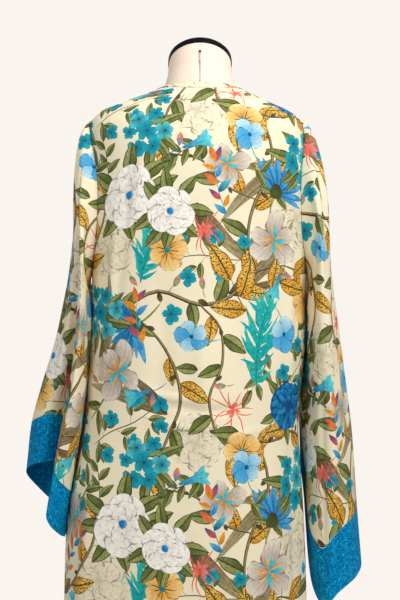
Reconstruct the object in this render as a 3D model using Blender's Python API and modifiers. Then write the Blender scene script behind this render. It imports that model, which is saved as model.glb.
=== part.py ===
"""Kimono robe on a limbless dress form, built as separate solid pieces.

Metres, +Z up. The origin is on the floor under the stand's pole. The garment's front faces -Y,
so the wearer's left side is +X. Angles round the body start at the wearer's left side and run
over the back: 0 left, 90 back, 180 right, 270 front.
"""

import math

import bmesh
import bpy
import numpy as np
from mathutils import Matrix, Vector

# Cloth and seams
CLOTH = 0.0012
SEAM = 0.0008
REST_GAP = 0.0016
BAND_WIDTH = 0.014
BAND_LIFT = 0.0010
BAND_TURN_Z = 1.330
ARMHOLE_LIFT = 0.0016
SLEEVE_CLEAR = 0.0038
SLEEVE_SOFTNESS = 0.0020

# Heights of the robe
HEM_Z = 0.170
UNDERARM_Z = 1.100
SHOULDER_TIP_Z = 1.366
NECK_Z = 1.4160

# Armhole and front opening
ARMHOLE_BACK_DEG = 22.0
ARMHOLE_FRONT_DEG = 20.0
ARMHOLE_ROUNDNESS = 0.6
CUFF_DEPTH = 0.090
CUFF_SEAM = 0.0018

# Stand
BASE_RADIUS = 0.175
BASE_THICK = 0.014
HUB_RADIUS = 0.028
HUB_Z = 0.050
POLE_RADIUS = 0.0125
FORM_FOOT_Z = 0.735

# Neck cap
NECK_TOP_Z = 1.457
NECK_TILT = 0.53
CAP_RADIUS = 0.0540
CAP_DEPTH_SHARE = 0.955
CAP_RIM = 0.007
CAP_HEIGHT = 0.024
CAP_GAP = 0.0004

# Mesh resolution
BACK_COLUMNS = 24
FRONT_COLUMNS = 9
SLEEVE_COLUMNS = 36
SLEEVE_ROWS = 15
CUFF_ROWS = 3
BAND_STRIPS = 3
SMALL = 1e-4
FORM_COLUMNS = 48

# The dress form's half sizes at each height: z, left, right, back, front
FORM_ROWS = [
    (0.735, 0.150, 0.150, 0.108, 0.095),
    (0.780, 0.156, 0.156, 0.113, 0.100),
    (0.840, 0.158, 0.158, 0.114, 0.102),
    (0.920, 0.146, 0.146, 0.103, 0.095),
    (0.980, 0.126, 0.126, 0.088, 0.086),
    (1.030, 0.117, 0.117, 0.080, 0.084),
    (1.080, 0.121, 0.121, 0.083, 0.094),
    (1.140, 0.133, 0.133, 0.090, 0.112),
    (1.180, 0.140, 0.140, 0.095, 0.120),
    (1.230, 0.146, 0.146, 0.098, 0.110),
    (1.280, 0.153, 0.153, 0.098, 0.092),
    (1.320, 0.166, 0.160, 0.094, 0.078),
    (1.345, 0.174, 0.164, 0.088, 0.068),
    (1.366, 0.1765, 0.163, 0.084, 0.064),
    (1.378, 0.162, 0.1455, 0.080, 0.062),
    (1.3930, 0.1230, 0.1110, 0.0730, 0.0600),
    (1.4005, 0.1025, 0.0955, 0.0685, 0.0590),
    (1.4075, 0.0835, 0.0805, 0.0640, 0.0580),
    (1.4120, 0.0705, 0.0690, 0.0602, 0.0564),
    (1.4160, 0.0605, 0.0605, 0.0570, 0.0550),
    (1.4370, 0.0545, 0.0545, 0.0520, 0.0510),
    (1.4570, 0.0525, 0.0525, 0.0500, 0.0500),
]

# The robe's half sizes, in the same columns, below the shoulder tips; above them it lies on the form
ROBE_ROWS = [
    (0.170, 0.236, 0.190, 0.150, 0.150),
    (0.350, 0.232, 0.184, 0.142, 0.144),
    (0.550, 0.228, 0.177, 0.134, 0.139),
    (0.650, 0.2255, 0.1745, 0.130, 0.137),
    (0.720, 0.221, 0.172, 0.127, 0.136),
    (0.790, 0.209, 0.168, 0.124, 0.135),
    (0.840, 0.198, 0.165, 0.122, 0.134),
    (0.890, 0.190, 0.167, 0.121, 0.134),
    (0.920, 0.188, 0.170, 0.120, 0.133),
    (0.980, 0.1845, 0.176, 0.117, 0.132),
    (1.030, 0.182, 0.177, 0.113, 0.132),
    (1.100, 0.181, 0.178, 0.110, 0.132),
    (1.180, 0.181, 0.178, 0.107, 0.127),
    (1.230, 0.181, 0.179, 0.106, 0.117),
    (1.280, 0.1825, 0.179, 0.104, 0.098),
    (1.320, 0.1850, 0.178, 0.100, 0.083),
    (1.345, 0.1860, 0.1745, 0.094, 0.072),
]

# Half distance between the two front edges: z, half distance
OPENING_ROWS = [
    (0.170, 0.056),
    (0.700, 0.050),
    (1.180, 0.046),
    (1.300, 0.054),
    (1.380, 0.060),
    (1.4075, 0.060),
    (1.4160, 0.0555),
]

# Long soft folds of the robe's body: angles in degrees at the upper and lower end
BODY_FOLDS = [
    # name, upper angle, lower angle, half width, height, upper z, lower z
    ("left_drop", 52.0, 30.0, 16.0, 0.007, 1.02, 0.40),
    ("left_hem", 70.0, 62.0, 11.0, -0.006, 0.70, 0.17),
    ("mid_back", 96.0, 94.0, 7.0, 0.0035, 1.20, 0.85),
    ("right_hem", 128.0, 132.0, 13.0, 0.006, 0.78, 0.17),
    ("right_side", 158.0, 156.0, 9.0, -0.004, 0.95, 0.30),
    ("front_right", 214.0, 216.0, 12.0, 0.008, 1.05, 0.17),
    ("front_left", 322.0, 320.0, 12.0, 0.008, 1.05, 0.17),
]

# Each sleeve from its armhole to its cuff's edge; the last row but one is the cuff's seam:
# x_in and z_in of its inner side, x_out and z_out of its outer side, y_back, y_front, and the
# weight of its folds
LEFT_STATIONS = [
    (0.1790, 1.098, 0.1790, 1.366, 0.043, -0.040, 0.00),
    (0.1870, 1.088, 0.1955, 1.345, 0.052, -0.046, 0.04),
    (0.1890, 1.076, 0.2035, 1.293, 0.060, -0.054, 0.10),
    (0.1855, 1.056, 0.2085, 1.232, 0.066, -0.060, 0.22),
    (0.1845, 1.028, 0.2145, 1.160, 0.070, -0.066, 0.38),
    (0.1840, 0.988, 0.2260, 1.080, 0.072, -0.072, 0.55),
    (0.1865, 0.928, 0.2440, 0.990, 0.072, -0.080, 0.75),
    (0.1970, 0.850, 0.2695, 0.910, 0.070, -0.086, 0.92),
    (0.2120, 0.765, 0.2880, 0.8485, 0.067, -0.090, 1.00),
    (0.2260, 0.690, 0.2980, 0.7690, 0.066, -0.092, 1.00),
]
RIGHT_STATIONS = [
    (0.1765, 1.098, 0.1765, 1.366, 0.043, -0.040, 0.00),
    (0.1835, 1.088, 0.1870, 1.343, 0.052, -0.046, 0.04),
    (0.1845, 1.076, 0.1985, 1.302, 0.060, -0.054, 0.10),
    (0.1820, 1.056, 0.2095, 1.238, 0.066, -0.060, 0.22),
    (0.1805, 1.028, 0.2155, 1.162, 0.070, -0.066, 0.38),
    (0.1795, 0.988, 0.2245, 1.080, 0.071, -0.072, 0.55),
    (0.1775, 0.908, 0.2400, 0.970, 0.070, -0.078, 0.75),
    (0.1755, 0.800, 0.2565, 0.845, 0.069, -0.082, 0.92),
    (0.1775, 0.690, 0.2660, 0.716, 0.068, -0.086, 1.00),
    (0.1805, 0.598, 0.2740, 0.618, 0.067, -0.088, 1.00),
]

# Section of each hanging sleeve, read from above: turn, across (0 at the body, 1 outside),
# deep (1 at the back, -1 in front), and the cuff's own rise or fall in metres
LEFT_FOLDS = [
    (0.00, 1.00, -0.25, -0.004),
    (0.10, 0.60, 0.34, 0.026),
    (0.20, 0.16, 0.12, 0.036),
    (0.29, 0.34, 0.96, -0.012),
    (0.36, 0.10, 0.76, -0.030),
    (0.44, -0.06, 0.16, -0.030),
    (0.55, 0.10, -0.22, -0.010),
    (0.66, 0.06, -0.60, -0.020),
    (0.78, 0.34, -1.00, -0.044),
    (0.90, 0.80, -0.82, -0.032),
]
RIGHT_FOLDS = [
    (0.00, 1.00, -0.15, 0.000),
    (0.10, 0.84, 0.62, -0.012),
    (0.20, 0.50, 1.00, -0.026),
    (0.29, 0.24, 0.86, -0.046),
    (0.36, 0.06, 0.38, -0.006),
    (0.46, -0.04, 0.02, 0.130),
    (0.58, -0.04, -0.52, 0.180),
    (0.72, 0.32, -1.00, 0.120),
    (0.86, 0.78, -0.84, 0.050),
]

COLOURS = {
    # name: (red, green, blue, roughness)
    "printed_cloth": (0.78, 0.75, 0.62, 0.75),
    "blue_cloth": (0.02, 0.25, 0.48, 0.75),
    "form_linen": (0.86, 0.77, 0.68, 0.85),
    "cap_black": (0.018, 0.026, 0.034, 0.35),
    "stand_metal": (0.055, 0.058, 0.062, 0.40),
}


def clear_scene():
    for item in list(bpy.data.objects):
        bpy.data.objects.remove(item)


def material(name):
    if name in bpy.data.materials:
        return bpy.data.materials[name]
    red, green, blue, rough = COLOURS[name]
    made = bpy.data.materials.new(name)
    made.use_nodes = True
    shader = made.node_tree.nodes["Principled BSDF"]
    shader.inputs["Base Color"].default_value = (red, green, blue, 1.0)
    shader.inputs["Roughness"].default_value = rough
    shader.inputs["Metallic"].default_value = 0.6 if name == "stand_metal" else 0.0
    made.diffuse_color = (red, green, blue, 1.0)
    return made


def smooth_curve(keys, values, at):
    """Values between the keys on a cubic that never overshoots them."""
    keys = np.asarray(keys, float)
    values = np.asarray(values, float)
    step = np.diff(keys)
    slope = np.diff(values) / step
    tangent = np.concatenate([[slope[0]], (slope[:-1] + slope[1:]) / 2, [slope[-1]]])
    turning = np.concatenate([[False], slope[:-1] * slope[1:] <= 0, [False]])
    tangent[turning] = 0.0
    limit = 3 * np.minimum(
        np.abs(np.concatenate([[slope[0]], slope])), np.abs(np.concatenate([slope, [slope[-1]]]))
    )
    tangent = np.clip(tangent, -limit, limit)
    at = np.clip(np.asarray(at, float), keys[0], keys[-1])
    i = np.clip(np.searchsorted(keys, at, side="right") - 1, 0, len(step) - 1)
    h = step[i]
    u = (at - keys[i]) / h
    return (
        (2 * u**3 - 3 * u**2 + 1) * values[i]
        + (u**3 - 2 * u**2 + u) * h * tangent[i]
        + (3 * u**2 - 2 * u**3) * values[i + 1]
        + (u**3 - u**2) * h * tangent[i + 1]
    )


def smooth_loop(keys, values, at):
    """A closed curve through the values, with keys from 0 to 1 round the loop."""
    keys = np.asarray(keys, float)
    values = np.asarray(values, float)
    long_keys = np.concatenate([keys[-2:] - 1, keys, keys[:3] + 1])
    long_values = np.concatenate([values[-2:], values, values[:3]])
    at = np.mod(np.asarray(at, float), 1.0)
    i = np.searchsorted(long_keys, at, side="right") - 1
    h = long_keys[i + 1] - long_keys[i]
    u = (at - long_keys[i]) / h
    before = (long_values[i + 1] - long_values[i - 1]) / (long_keys[i + 1] - long_keys[i - 1])
    after = (long_values[i + 2] - long_values[i]) / (long_keys[i + 2] - long_keys[i])
    return (
        (2 * u**3 - 3 * u**2 + 1) * long_values[i]
        + (u**3 - 2 * u**2 + u) * h * before
        + (3 * u**2 - 2 * u**3) * long_values[i + 1]
        + (u**3 - u**2) * h * after
    )


def ramp(value):
    value = np.clip(value, 0.0, 1.0)
    return value * value * (3 - 2 * value)


def section(rows, z, angle):
    """A point of a body section, whose four half sizes come from the rows."""
    columns = np.array(rows).T
    left, right, back, front = (smooth_curve(columns[0], c, z) for c in columns[1:])
    across, deep = np.cos(angle), np.sin(angle)
    return (
        np.where(across >= 0, left, right) * across,
        np.where(deep >= 0, back, front) * deep,
    )


def robe_rows():
    """Rows of the robe's body: its own below the shoulder tips, and the form's above, moved out."""
    above = [row for row in FORM_ROWS if SHOULDER_TIP_Z <= row[0] <= NECK_Z]
    return ROBE_ROWS + [(row[0], *(size + REST_GAP for size in row[1:])) for row in above]


def robe_point(z, angle):
    """A point on the inner face of the robe's body, folds included."""
    z, angle = np.broadcast_arrays(np.asarray(z, float), np.asarray(angle, float))
    x, y = section(robe_rows(), z, angle)
    out = np.zeros_like(x)
    for _, upper, lower, half_width, height, upper_z, lower_z in BODY_FOLDS:
        down = (upper_z - z) / (upper_z - lower_z)
        middle = upper + (lower - upper) * np.clip(down, 0.0, 1.2)
        away = (np.degrees(angle) - middle + 180) % 360 - 180
        out += height * ramp(down) * np.exp(-((away / half_width) ** 2))
    reach = np.hypot(x, y)
    return np.stack([x * (1 + out / reach), y * (1 + out / reach), z], axis=-1)


def armhole_angle(z, widest_deg):
    """Half angle of the armhole at a height, zero outside it."""
    u = np.clip((z - UNDERARM_Z) / (SHOULDER_TIP_Z - UNDERARM_Z), 0.0, 1.0)
    return math.radians(widest_deg) * (4 * u * (1 - u)) ** ARMHOLE_ROUNDNESS


def seam_angle(z, angle):
    """The angle that covers half a seam's gap at this place."""
    x, y = section(robe_rows(), z, angle)
    return SEAM / 2 / np.hypot(x, y)


def front_edge_angle(z):
    """Angle from the side to the front edge, at a height."""
    keys, halves = np.array(OPENING_ROWS).T
    half = smooth_curve(keys, halves, z)
    width, _ = section(robe_rows(), z, np.zeros_like(z))
    return np.arccos(np.clip(half / width, -1.0, 1.0))


def body_heights():
    """Heights of the body panels' rows, which match the form's where the robe rests on it."""
    skirt = np.linspace(HEM_Z, UNDERARM_Z, 15)
    chest = UNDERARM_Z + (SHOULDER_TIP_Z - UNDERARM_Z) * (1 - np.cos(np.linspace(0, math.pi, 11))) / 2
    shoulder = [row[0] for row in FORM_ROWS if SHOULDER_TIP_Z < row[0] <= NECK_Z]
    return np.concatenate([skirt, chest[1:], shoulder])


def side_faces(shape, verts, closed):
    """Faces of one grid of corners, each row joined to the next."""
    for low, high in zip(verts, verts[1:]):
        for c in range(len(low) if closed else len(low) - 1):
            d = (c + 1) % len(low)
            shape.faces.new((low[c], low[d], high[d], high[c]))


def add_object(name, shape, material_name, collection):
    mesh = bpy.data.meshes.new(name)
    shape.to_mesh(mesh)
    shape.free()
    mesh.materials.append(material(material_name))
    mesh.shade_smooth()
    made = bpy.data.objects.new(name, mesh)
    collection.objects.link(made)
    return made


def add_cloth(name, inner, outward, material_name, collection, closed=False):
    """A wall of cloth between a grid of inner points and the same grid moved out."""
    shape = bmesh.new()
    inside, outside = (
        [[shape.verts.new(point) for point in row] for row in grid]
        for grid in (inner, inner + outward * CLOTH)
    )
    side_faces(shape, outside, closed)
    side_faces(shape, [row[::-1] for row in inside], closed)
    for near, far in ((inside, outside), (outside, inside)):
        end = 0 if near is inside else -1
        side_faces(shape, [near[end], far[end]], closed)
    if not closed:
        for near, far, end in ((outside, inside, 0), (inside, outside, -1)):
            side_faces(shape, [[row[end] for row in near], [row[end] for row in far]], closed)
    add_object(name, shape, material_name, collection)


def body_outward(z, angle):
    """The robe's outward direction at a place on its body."""
    low, high = np.clip(z - SMALL, HEM_Z, NECK_Z), np.clip(z + SMALL, HEM_Z, NECK_Z)
    up = robe_point(high, angle) - robe_point(low, angle)
    return unit(np.cross(robe_point(z, angle + SMALL) - robe_point(z, angle - SMALL), up))


def unit(vectors):
    return vectors / np.linalg.norm(vectors, axis=-1, keepdims=True)


def add_panel(name, start, end, columns, collection):
    """A body panel between two edges, each an angle for every row."""
    z = body_heights()[:, None]
    angle = start[:, None] + (end - start)[:, None] * np.linspace(0.0, 1.0, columns + 1)
    add_cloth(name, robe_point(z, angle), body_outward(z, angle), "printed_cloth", collection)


def add_back(collection):
    z = body_heights()
    side = armhole_angle(z, ARMHOLE_BACK_DEG)
    start = side + seam_angle(z, side)
    end = math.pi - side - seam_angle(z, math.pi - side)
    add_panel("back_panel", start, end, BACK_COLUMNS, collection)


def add_fronts(collection):
    z = body_heights()
    side = armhole_angle(z, ARMHOLE_FRONT_DEG)
    side += seam_angle(z, side)
    edge = front_edge_angle(z)
    add_panel("front_right", math.pi + side, math.pi + edge, FRONT_COLUMNS, collection)
    add_panel("front_left", 2 * math.pi - edge, 2 * math.pi - side, FRONT_COLUMNS, collection)


def armhole_point(side, turn):
    """A point just off the robe's outer face along the armhole, from the shoulder tip over the back."""
    low = (1 - np.cos(2 * math.pi * turn)) / 2
    z = SHOULDER_TIP_Z - (SHOULDER_TIP_Z - UNDERARM_Z) * low
    opened = np.where(
        np.mod(turn, 1.0) < 0.5, armhole_angle(z, ARMHOLE_BACK_DEG), -armhole_angle(z, ARMHOLE_FRONT_DEG)
    )
    angle = opened if side > 0 else math.pi - opened
    lift = CLOTH + ARMHOLE_LIFT + CLOTH * low
    return robe_point(z, angle) + body_outward(z, angle) * lift[..., None]


def clear_of_body(points):
    """The points, moved out from the pole wherever they come too near the robe's body."""
    x, y, z = np.moveaxis(points, -1, 0)
    along_x, _ = section(robe_rows(), z, np.where(x >= 0, 0.0, math.pi))
    _, along_y = section(robe_rows(), z, np.where(y >= 0, math.pi / 2, -math.pi / 2))
    body = robe_point(z, np.arctan2(y / np.abs(along_y), x / np.abs(along_x)))
    reach = np.hypot(x, y)
    least = np.hypot(body[..., 0], body[..., 1]) + SLEEVE_CLEAR
    spare = reach - least
    grown = (least + (spare + np.hypot(spare, SLEEVE_SOFTNESS)) / 2) / reach
    return np.stack([x * grown, y * grown, z], axis=-1)


def sleeve_point(side, turn, t):
    """A point on a sleeve's inner face. turn goes round it from the top over the back, t goes down it."""
    stations, folds = (LEFT_STATIONS, LEFT_FOLDS) if side > 0 else (RIGHT_STATIONS, RIGHT_FOLDS)
    turn, t = np.broadcast_arrays(np.asarray(turn, float), np.asarray(t, float))
    keys = np.arange(len(stations)) / (len(stations) - 1)
    x_in, z_in, x_out, z_out, y_back, y_front, fold = (
        smooth_curve(keys, column, t) for column in np.array(stations).T
    )
    fold_turn, fold_across, fold_deep, fold_drop = np.array(folds).T
    round_across = (1 + np.cos(2 * math.pi * turn)) / 2
    across = (1 - fold) * round_across + fold * smooth_loop(fold_turn, fold_across, turn)
    deep = (1 - fold) * np.sin(2 * math.pi * turn) + fold * smooth_loop(fold_turn, fold_deep, turn)
    middle, half = (y_back + y_front) / 2, (y_back - y_front) / 2
    x = side * (x_in + (x_out - x_in) * across)
    z = z_in + (z_out - z_in) * round_across + fold**2 * smooth_loop(fold_turn, fold_drop, turn)
    hanging = clear_of_body(np.stack([x, middle + half * deep, z], axis=-1))
    held = 1 - ramp(t / keys[1])
    return hanging + (armhole_point(side, turn) - hanging) * held[..., None]


def sleeve_outward(side, turn, t):
    """The sleeve's outward direction at a place on it."""
    low, high = np.clip(t - SMALL, 0.0, 1.0), np.clip(t + SMALL, 0.0, 1.0)
    down = sleeve_point(side, turn, high) - sleeve_point(side, turn, low)
    return side * unit(np.cross(down, sleeve_point(side, turn + SMALL, t) - sleeve_point(side, turn - SMALL, t)))


def add_sleeve(name, side, start, end, rows, material_name, collection):
    """A stretch of a sleeve; its rows run so that its faces look out."""
    turn = np.arange(SLEEVE_COLUMNS) / SLEEVE_COLUMNS
    t = np.linspace(end, start, rows + 1)[:, None]
    inner, outward = sleeve_point(side, turn, t), sleeve_outward(side, turn, t)
    if side < 0:
        inner, outward = inner[:, ::-1], outward[:, ::-1]
    add_cloth(name, inner, outward, material_name, collection, closed=True)


def add_sleeves(collection):
    lengths = len(LEFT_STATIONS) - 1
    seam = 1 - 1 / lengths
    half_gap = CUFF_SEAM / CUFF_DEPTH / lengths / 2
    for side, name in ((1, "left"), (-1, "right")):
        add_sleeve("sleeve_" + name, side, 0.0, seam - half_gap, SLEEVE_ROWS, "printed_cloth", collection)
        add_sleeve("cuff_band_" + name, side, seam + half_gap, 1.0, CUFF_ROWS, "blue_cloth", collection)


def panel_face(z, angle):
    """A point on the flat facets between the panels' own rows."""
    rows = body_heights()
    below = np.clip(np.searchsorted(rows, z, side="right") - 1, 0, len(rows) - 2)
    share = (z - rows[below]) / (rows[below + 1] - rows[below])
    low, high = robe_point(rows[below], angle), robe_point(rows[below + 1], angle)
    return low + (high - low) * share[..., None]


def band_path():
    """The band's outer edge, hem to hem round the neck: angle, height, and how far its width points down."""
    rise = body_heights()
    edge = front_edge_angle(rise)
    down = ramp((rise - BAND_TURN_Z) / (NECK_Z - BAND_TURN_Z))
    neck = np.linspace(math.pi, 0.0, BACK_COLUMNS + 1)
    angle = np.concatenate([math.pi + edge, [math.pi + edge[-1] / 2], neck, [-edge[-1] / 2], -edge[::-1]])
    top = np.ones(len(neck) + 2)
    return angle, np.concatenate([rise, top * NECK_Z, rise[::-1]]), np.concatenate([down, top, down[::-1]])


def add_neckband(collection):
    """The narrow band lies on the panels' outer face along the neck and both front edges."""
    angle, z, down_share = band_path()
    here = robe_point(z, angle)
    along = np.linalg.norm(robe_point(z, angle + SMALL) - here, axis=1) / SMALL
    down = np.linalg.norm(here - robe_point(z - SMALL, angle), axis=1) / SMALL
    way = np.linspace(0.0, BAND_WIDTH, BAND_STRIPS + 1)[:, None]
    a = angle + way * np.where(np.cos(angle) >= 0, 1.0, -1.0) * (1 - down_share) / along
    h = z - way * down_share / down
    outward = body_outward(h, a)
    inner = panel_face(h, a) + outward * (CLOTH + BAND_LIFT)
    add_cloth("neckband", inner, outward, "printed_cloth", collection)


def add_form(collection):
    """The dress form's body and neck: one closed loft, its neck cut on a tilt."""
    lower = [(a[0] + b[0]) / 2 for a, b in zip(FORM_ROWS[1:7], FORM_ROWS[2:8])]
    heights = np.array(sorted([row[0] for row in FORM_ROWS] + lower))[:, None]
    x, y = section(FORM_ROWS, heights, np.arange(FORM_COLUMNS) * 2 * math.pi / FORM_COLUMNS)
    tilt = NECK_TILT * ramp((heights - NECK_Z) / (NECK_TOP_Z - NECK_Z))
    rings = np.stack([x, y, heights + tilt * y], axis=-1)
    shape = bmesh.new()
    verts = [[shape.verts.new(point) for point in ring] for ring in rings]
    side_faces(shape, verts, closed=True)
    shape.faces.new(verts[0][::-1])
    shape.faces.new(verts[-1])
    add_object("form_torso", shape, "form_linen", collection)


def turned(name, profile, steps, material_name, collection):
    """A turned solid; its profile runs from the axis at the top, down the outside, to the axis below."""
    shape = bmesh.new()
    points = [shape.verts.new((radius, 0.0, z)) for radius, z in profile]
    for a, b in zip(points, points[1:]):
        shape.edges.new((a, b))
    made = add_object(name, shape, material_name, collection)
    screw = made.modifiers.new("turn", "SCREW")
    screw.steps = steps
    screw.render_steps = steps
    screw.use_merge_vertices = True
    screw.merge_threshold = 0.00005
    screw.use_smooth_shade = True
    return made


def add_cap(collection):
    """The black cap on the neck: a straight rim, then a dome, tilted with the neck."""
    dome = [
        (CAP_RADIUS * math.cos(a), CAP_RIM + (CAP_HEIGHT - CAP_RIM) * math.sin(a))
        for a in np.radians([90, 72, 54, 38, 22, 8])
    ]
    profile = [(0.0, CAP_HEIGHT)] + dome[1:] + [(CAP_RADIUS, CAP_RIM * 0.5), (CAP_RADIUS, 0.0), (0.0, 0.0)]
    cap = turned("neck_cap", profile, FORM_COLUMNS, "cap_black", collection)
    tilt = math.atan(NECK_TILT)
    deep = CAP_DEPTH_SHARE / math.cos(tilt)
    lift = Vector((0, -math.sin(tilt), math.cos(tilt))) * CAP_GAP
    cap.matrix_world = (
        Matrix.Translation(Vector((0, 0, NECK_TOP_Z)) + lift)
        @ Matrix.Rotation(tilt, 4, "X")
        @ Matrix.Diagonal((1.0, deep, 1.0, 1.0))
    )


def add_stand(collection):
    base = [
        (0.0, HUB_Z),
        (HUB_RADIUS * 0.75, HUB_Z),
        (HUB_RADIUS, HUB_Z - 0.006),
        (HUB_RADIUS, BASE_THICK + 0.008),
        (HUB_RADIUS + 0.008, BASE_THICK + 0.002),
        (BASE_RADIUS - 0.020, BASE_THICK),
        (BASE_RADIUS - 0.003, BASE_THICK - 0.003),
        (BASE_RADIUS, BASE_THICK - 0.007),
        (BASE_RADIUS, 0.0),
        (0.0, 0.0),
    ]
    turned("stand_base", base, 48, "stand_metal", collection)
    low, high = HUB_Z + SEAM, FORM_FOOT_Z - SEAM
    bpy.ops.mesh.primitive_cylinder_add(
        vertices=24, radius=POLE_RADIUS, depth=high - low, location=(0, 0, (low + high) / 2)
    )
    pole = bpy.context.active_object
    pole.name = "stand_pole"
    pole.data.materials.append(material("stand_metal"))
    for holder in list(pole.users_collection):
        holder.objects.unlink(pole)
    collection.objects.link(pole)


def main():
    clear_scene()
    robe = bpy.data.collections.new("kimono_robe_on_dress_form")
    bpy.context.scene.collection.children.link(robe)
    add_back(robe)
    add_fronts(robe)
    add_sleeves(robe)
    add_neckband(robe)
    add_form(robe)
    add_cap(robe)
    add_stand(robe)


main()
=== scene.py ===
"""Looks of a kimono robe of printed cloth on a limbless dress form.

Metres, +Z up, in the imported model's frame: the garment's front faces -Y and the wearer's left is
+X. The camera looks at the back, as in the photograph. The cloth's surfaces come from the same
sizes as the CAD solids; here they get their finer creases, their print, hems and stitches.
"""

import math
from dataclasses import dataclass, replace

import bpy
import numpy as np
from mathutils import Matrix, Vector
from mathutils.geometry import delaunay_2d_cdt
from mathutils.kdtree import KDTree


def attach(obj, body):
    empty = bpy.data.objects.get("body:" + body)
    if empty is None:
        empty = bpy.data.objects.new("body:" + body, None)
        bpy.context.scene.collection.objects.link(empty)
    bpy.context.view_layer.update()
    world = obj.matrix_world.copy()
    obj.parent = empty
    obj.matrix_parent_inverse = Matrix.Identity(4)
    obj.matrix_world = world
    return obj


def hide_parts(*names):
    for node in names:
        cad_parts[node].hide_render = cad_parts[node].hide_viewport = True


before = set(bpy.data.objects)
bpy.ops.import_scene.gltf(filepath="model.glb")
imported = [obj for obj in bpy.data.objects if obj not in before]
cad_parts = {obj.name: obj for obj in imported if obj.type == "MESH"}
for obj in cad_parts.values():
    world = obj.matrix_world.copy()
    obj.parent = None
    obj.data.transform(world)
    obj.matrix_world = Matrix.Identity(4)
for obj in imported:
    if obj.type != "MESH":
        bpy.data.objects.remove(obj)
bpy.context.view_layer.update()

# Camera: its distance behind the form's axis, its height and its lens in millimetres
CAMERA_DISTANCE = 1.86
CAMERA_Z = 1.06
LENS = 66
SENSOR = 36

# Cloth and seams, as in the solids
CLOTH = 0.0012
SEAM = 0.0008
REST_GAP = 0.0016
BAND_WIDTH = 0.014
BAND_TURN_Z = 1.330
ARMHOLE_LIFT = 0.0016
SLEEVE_CLEAR = 0.0038
SLEEVE_SOFTNESS = 0.0020
HEM_Z = 0.170
UNDERARM_Z = 1.100
SHOULDER_TIP_Z = 1.366
NECK_Z = 1.4160
ARMHOLE_BACK_DEG = 22.0
ARMHOLE_FRONT_DEG = 20.0
ARMHOLE_ROUNDNESS = 0.6
NECK_TOP_Z = 1.457
NECK_TILT = 0.53
SMALL = 1e-4

# Cloth here: its thickness, the steps of its grid, and those of the even ground between the print's
# lines; the inner side takes every second node, except on the finer sleeves
SHELL = 0.0005
NODE_STEP = 0.0036
INNER_STEP = 2
PRINT_STEP = 0.0075
FINE_PRINT_STEP = 0.0046
GROUND_ROW_SHARE = 0.87
WELD = 2e-5
WRONG_SIDE_PALENESS = 0.55
# The cloth's cut edges take the ground's colour darkened by this share, as painted shade
EDGE_SHADE = 0.9

# Samples along and across a piece, from which its even steps are worked out; the neckband's are those
# up a front edge and round the neck, and its nodes across
PANEL_SAMPLES = (1600, 7)
COLUMN_SAMPLES = 200
SLEEVE_SAMPLES = (800, 9)
BAND_SAMPLES = (500, 160)
BAND_COLUMNS = 9

# At sharp bends the inner side lies deeper: by the bend's own depth, up to the most, times the spare
BEND_SPARE = 1.3
MOST_BEND_ROOM = 0.0020

# A sleeve's head lies down on the panels over the first share of its length, with a small gap; its
# way out is read no nearer to the armhole than the second share, because it is unsteady there
HEAD_SHARE = 0.080
STEADY_SHARE = 0.060
HEAD_GAP = 0.0001

# The body's creases fade out near the neckline, over the second length and up to the first one above
# it; every crease fades towards its ends as this power of a sine
CREASE_TOP = 0.004
CREASE_FADE = 0.06
CREASE_FADE_POWER = 0.8

# How a surface is laid flat, and how a flat place is found again on it
FLATTEN_ROUNDS = 60
NEWTON_ROUNDS = 8
MOST_STEP = 2.0

# The bake map: outer side in the left half, inner side in the right, with room round each
BAKE_SIZE = (0.47, 0.96)
BAKE_EDGE = 0.02
BAKE_HALF = 0.5

# Gaps at open edges, the neckband's height at its edges and its middle, and the depth of the hems
EDGE_GAP = 0.0002
CUFF_GAP = 0.0003
BAND_LOW = 0.0004
BAND_HIGH = 0.0012
HEM_DEPTH = 0.020

# Stitches: their size, and the row or column of each grid that they run along
STITCH_PITCH = 0.0032
STITCH_HALF_SHARE = 0.36
STITCH_WIDTH = 0.00025
STITCH_HEIGHT = 0.00028
HEM_STITCHES = round(HEM_DEPTH / NODE_STEP)
SLEEVE_STITCHES = 1
CUFF_STITCHES = 4
BAND_STITCHES = np.s_[:, 1]

# The form's seams, as lines between two heights, and the slider at the top of its back seam
SEAM_START_Z = 0.737
SEAM_END_Z = 1.4566
SEAM_LIFT = 0.0009
SEAM_RADIUS = 0.0007
PRINCESS_ANGLE = 0.62
PRINCESS_BOW = 0.16
PRINCESS_RADIUS = 0.0006
SLIDER_Z = 1.4455
SLIDER_LENGTH = 0.0020
TAB_LENGTH = 0.0078
TAB_GAP = 0.001

# Studio: the floor lies a little under the stand; each light has its place, what it aims at, its size,
# its power and its colour
FLOOR_RADIUS = 1.75
FLOOR_Z = -0.0005
LIGHTS = [
    ("key", (-1.1, 1.55, 2.85), (0, 0, 2.0), 1.0, 61, (1.0, 0.975, 0.92)),
    ("fill", (1.4, 1.9, 2.7), (0, 0, 1.9), 1.4, 22, (1.0, 0.98, 0.94)),
    ("rim", (0.5, -2.6, 2.2), (0, 0, 1.0), 2.0, 16, (1.0, 0.99, 0.98)),
]
SURROUND_COLOUR = (1.0, 0.97, 0.94, 1)
SURROUND_STRENGTH = 0.345

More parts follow.
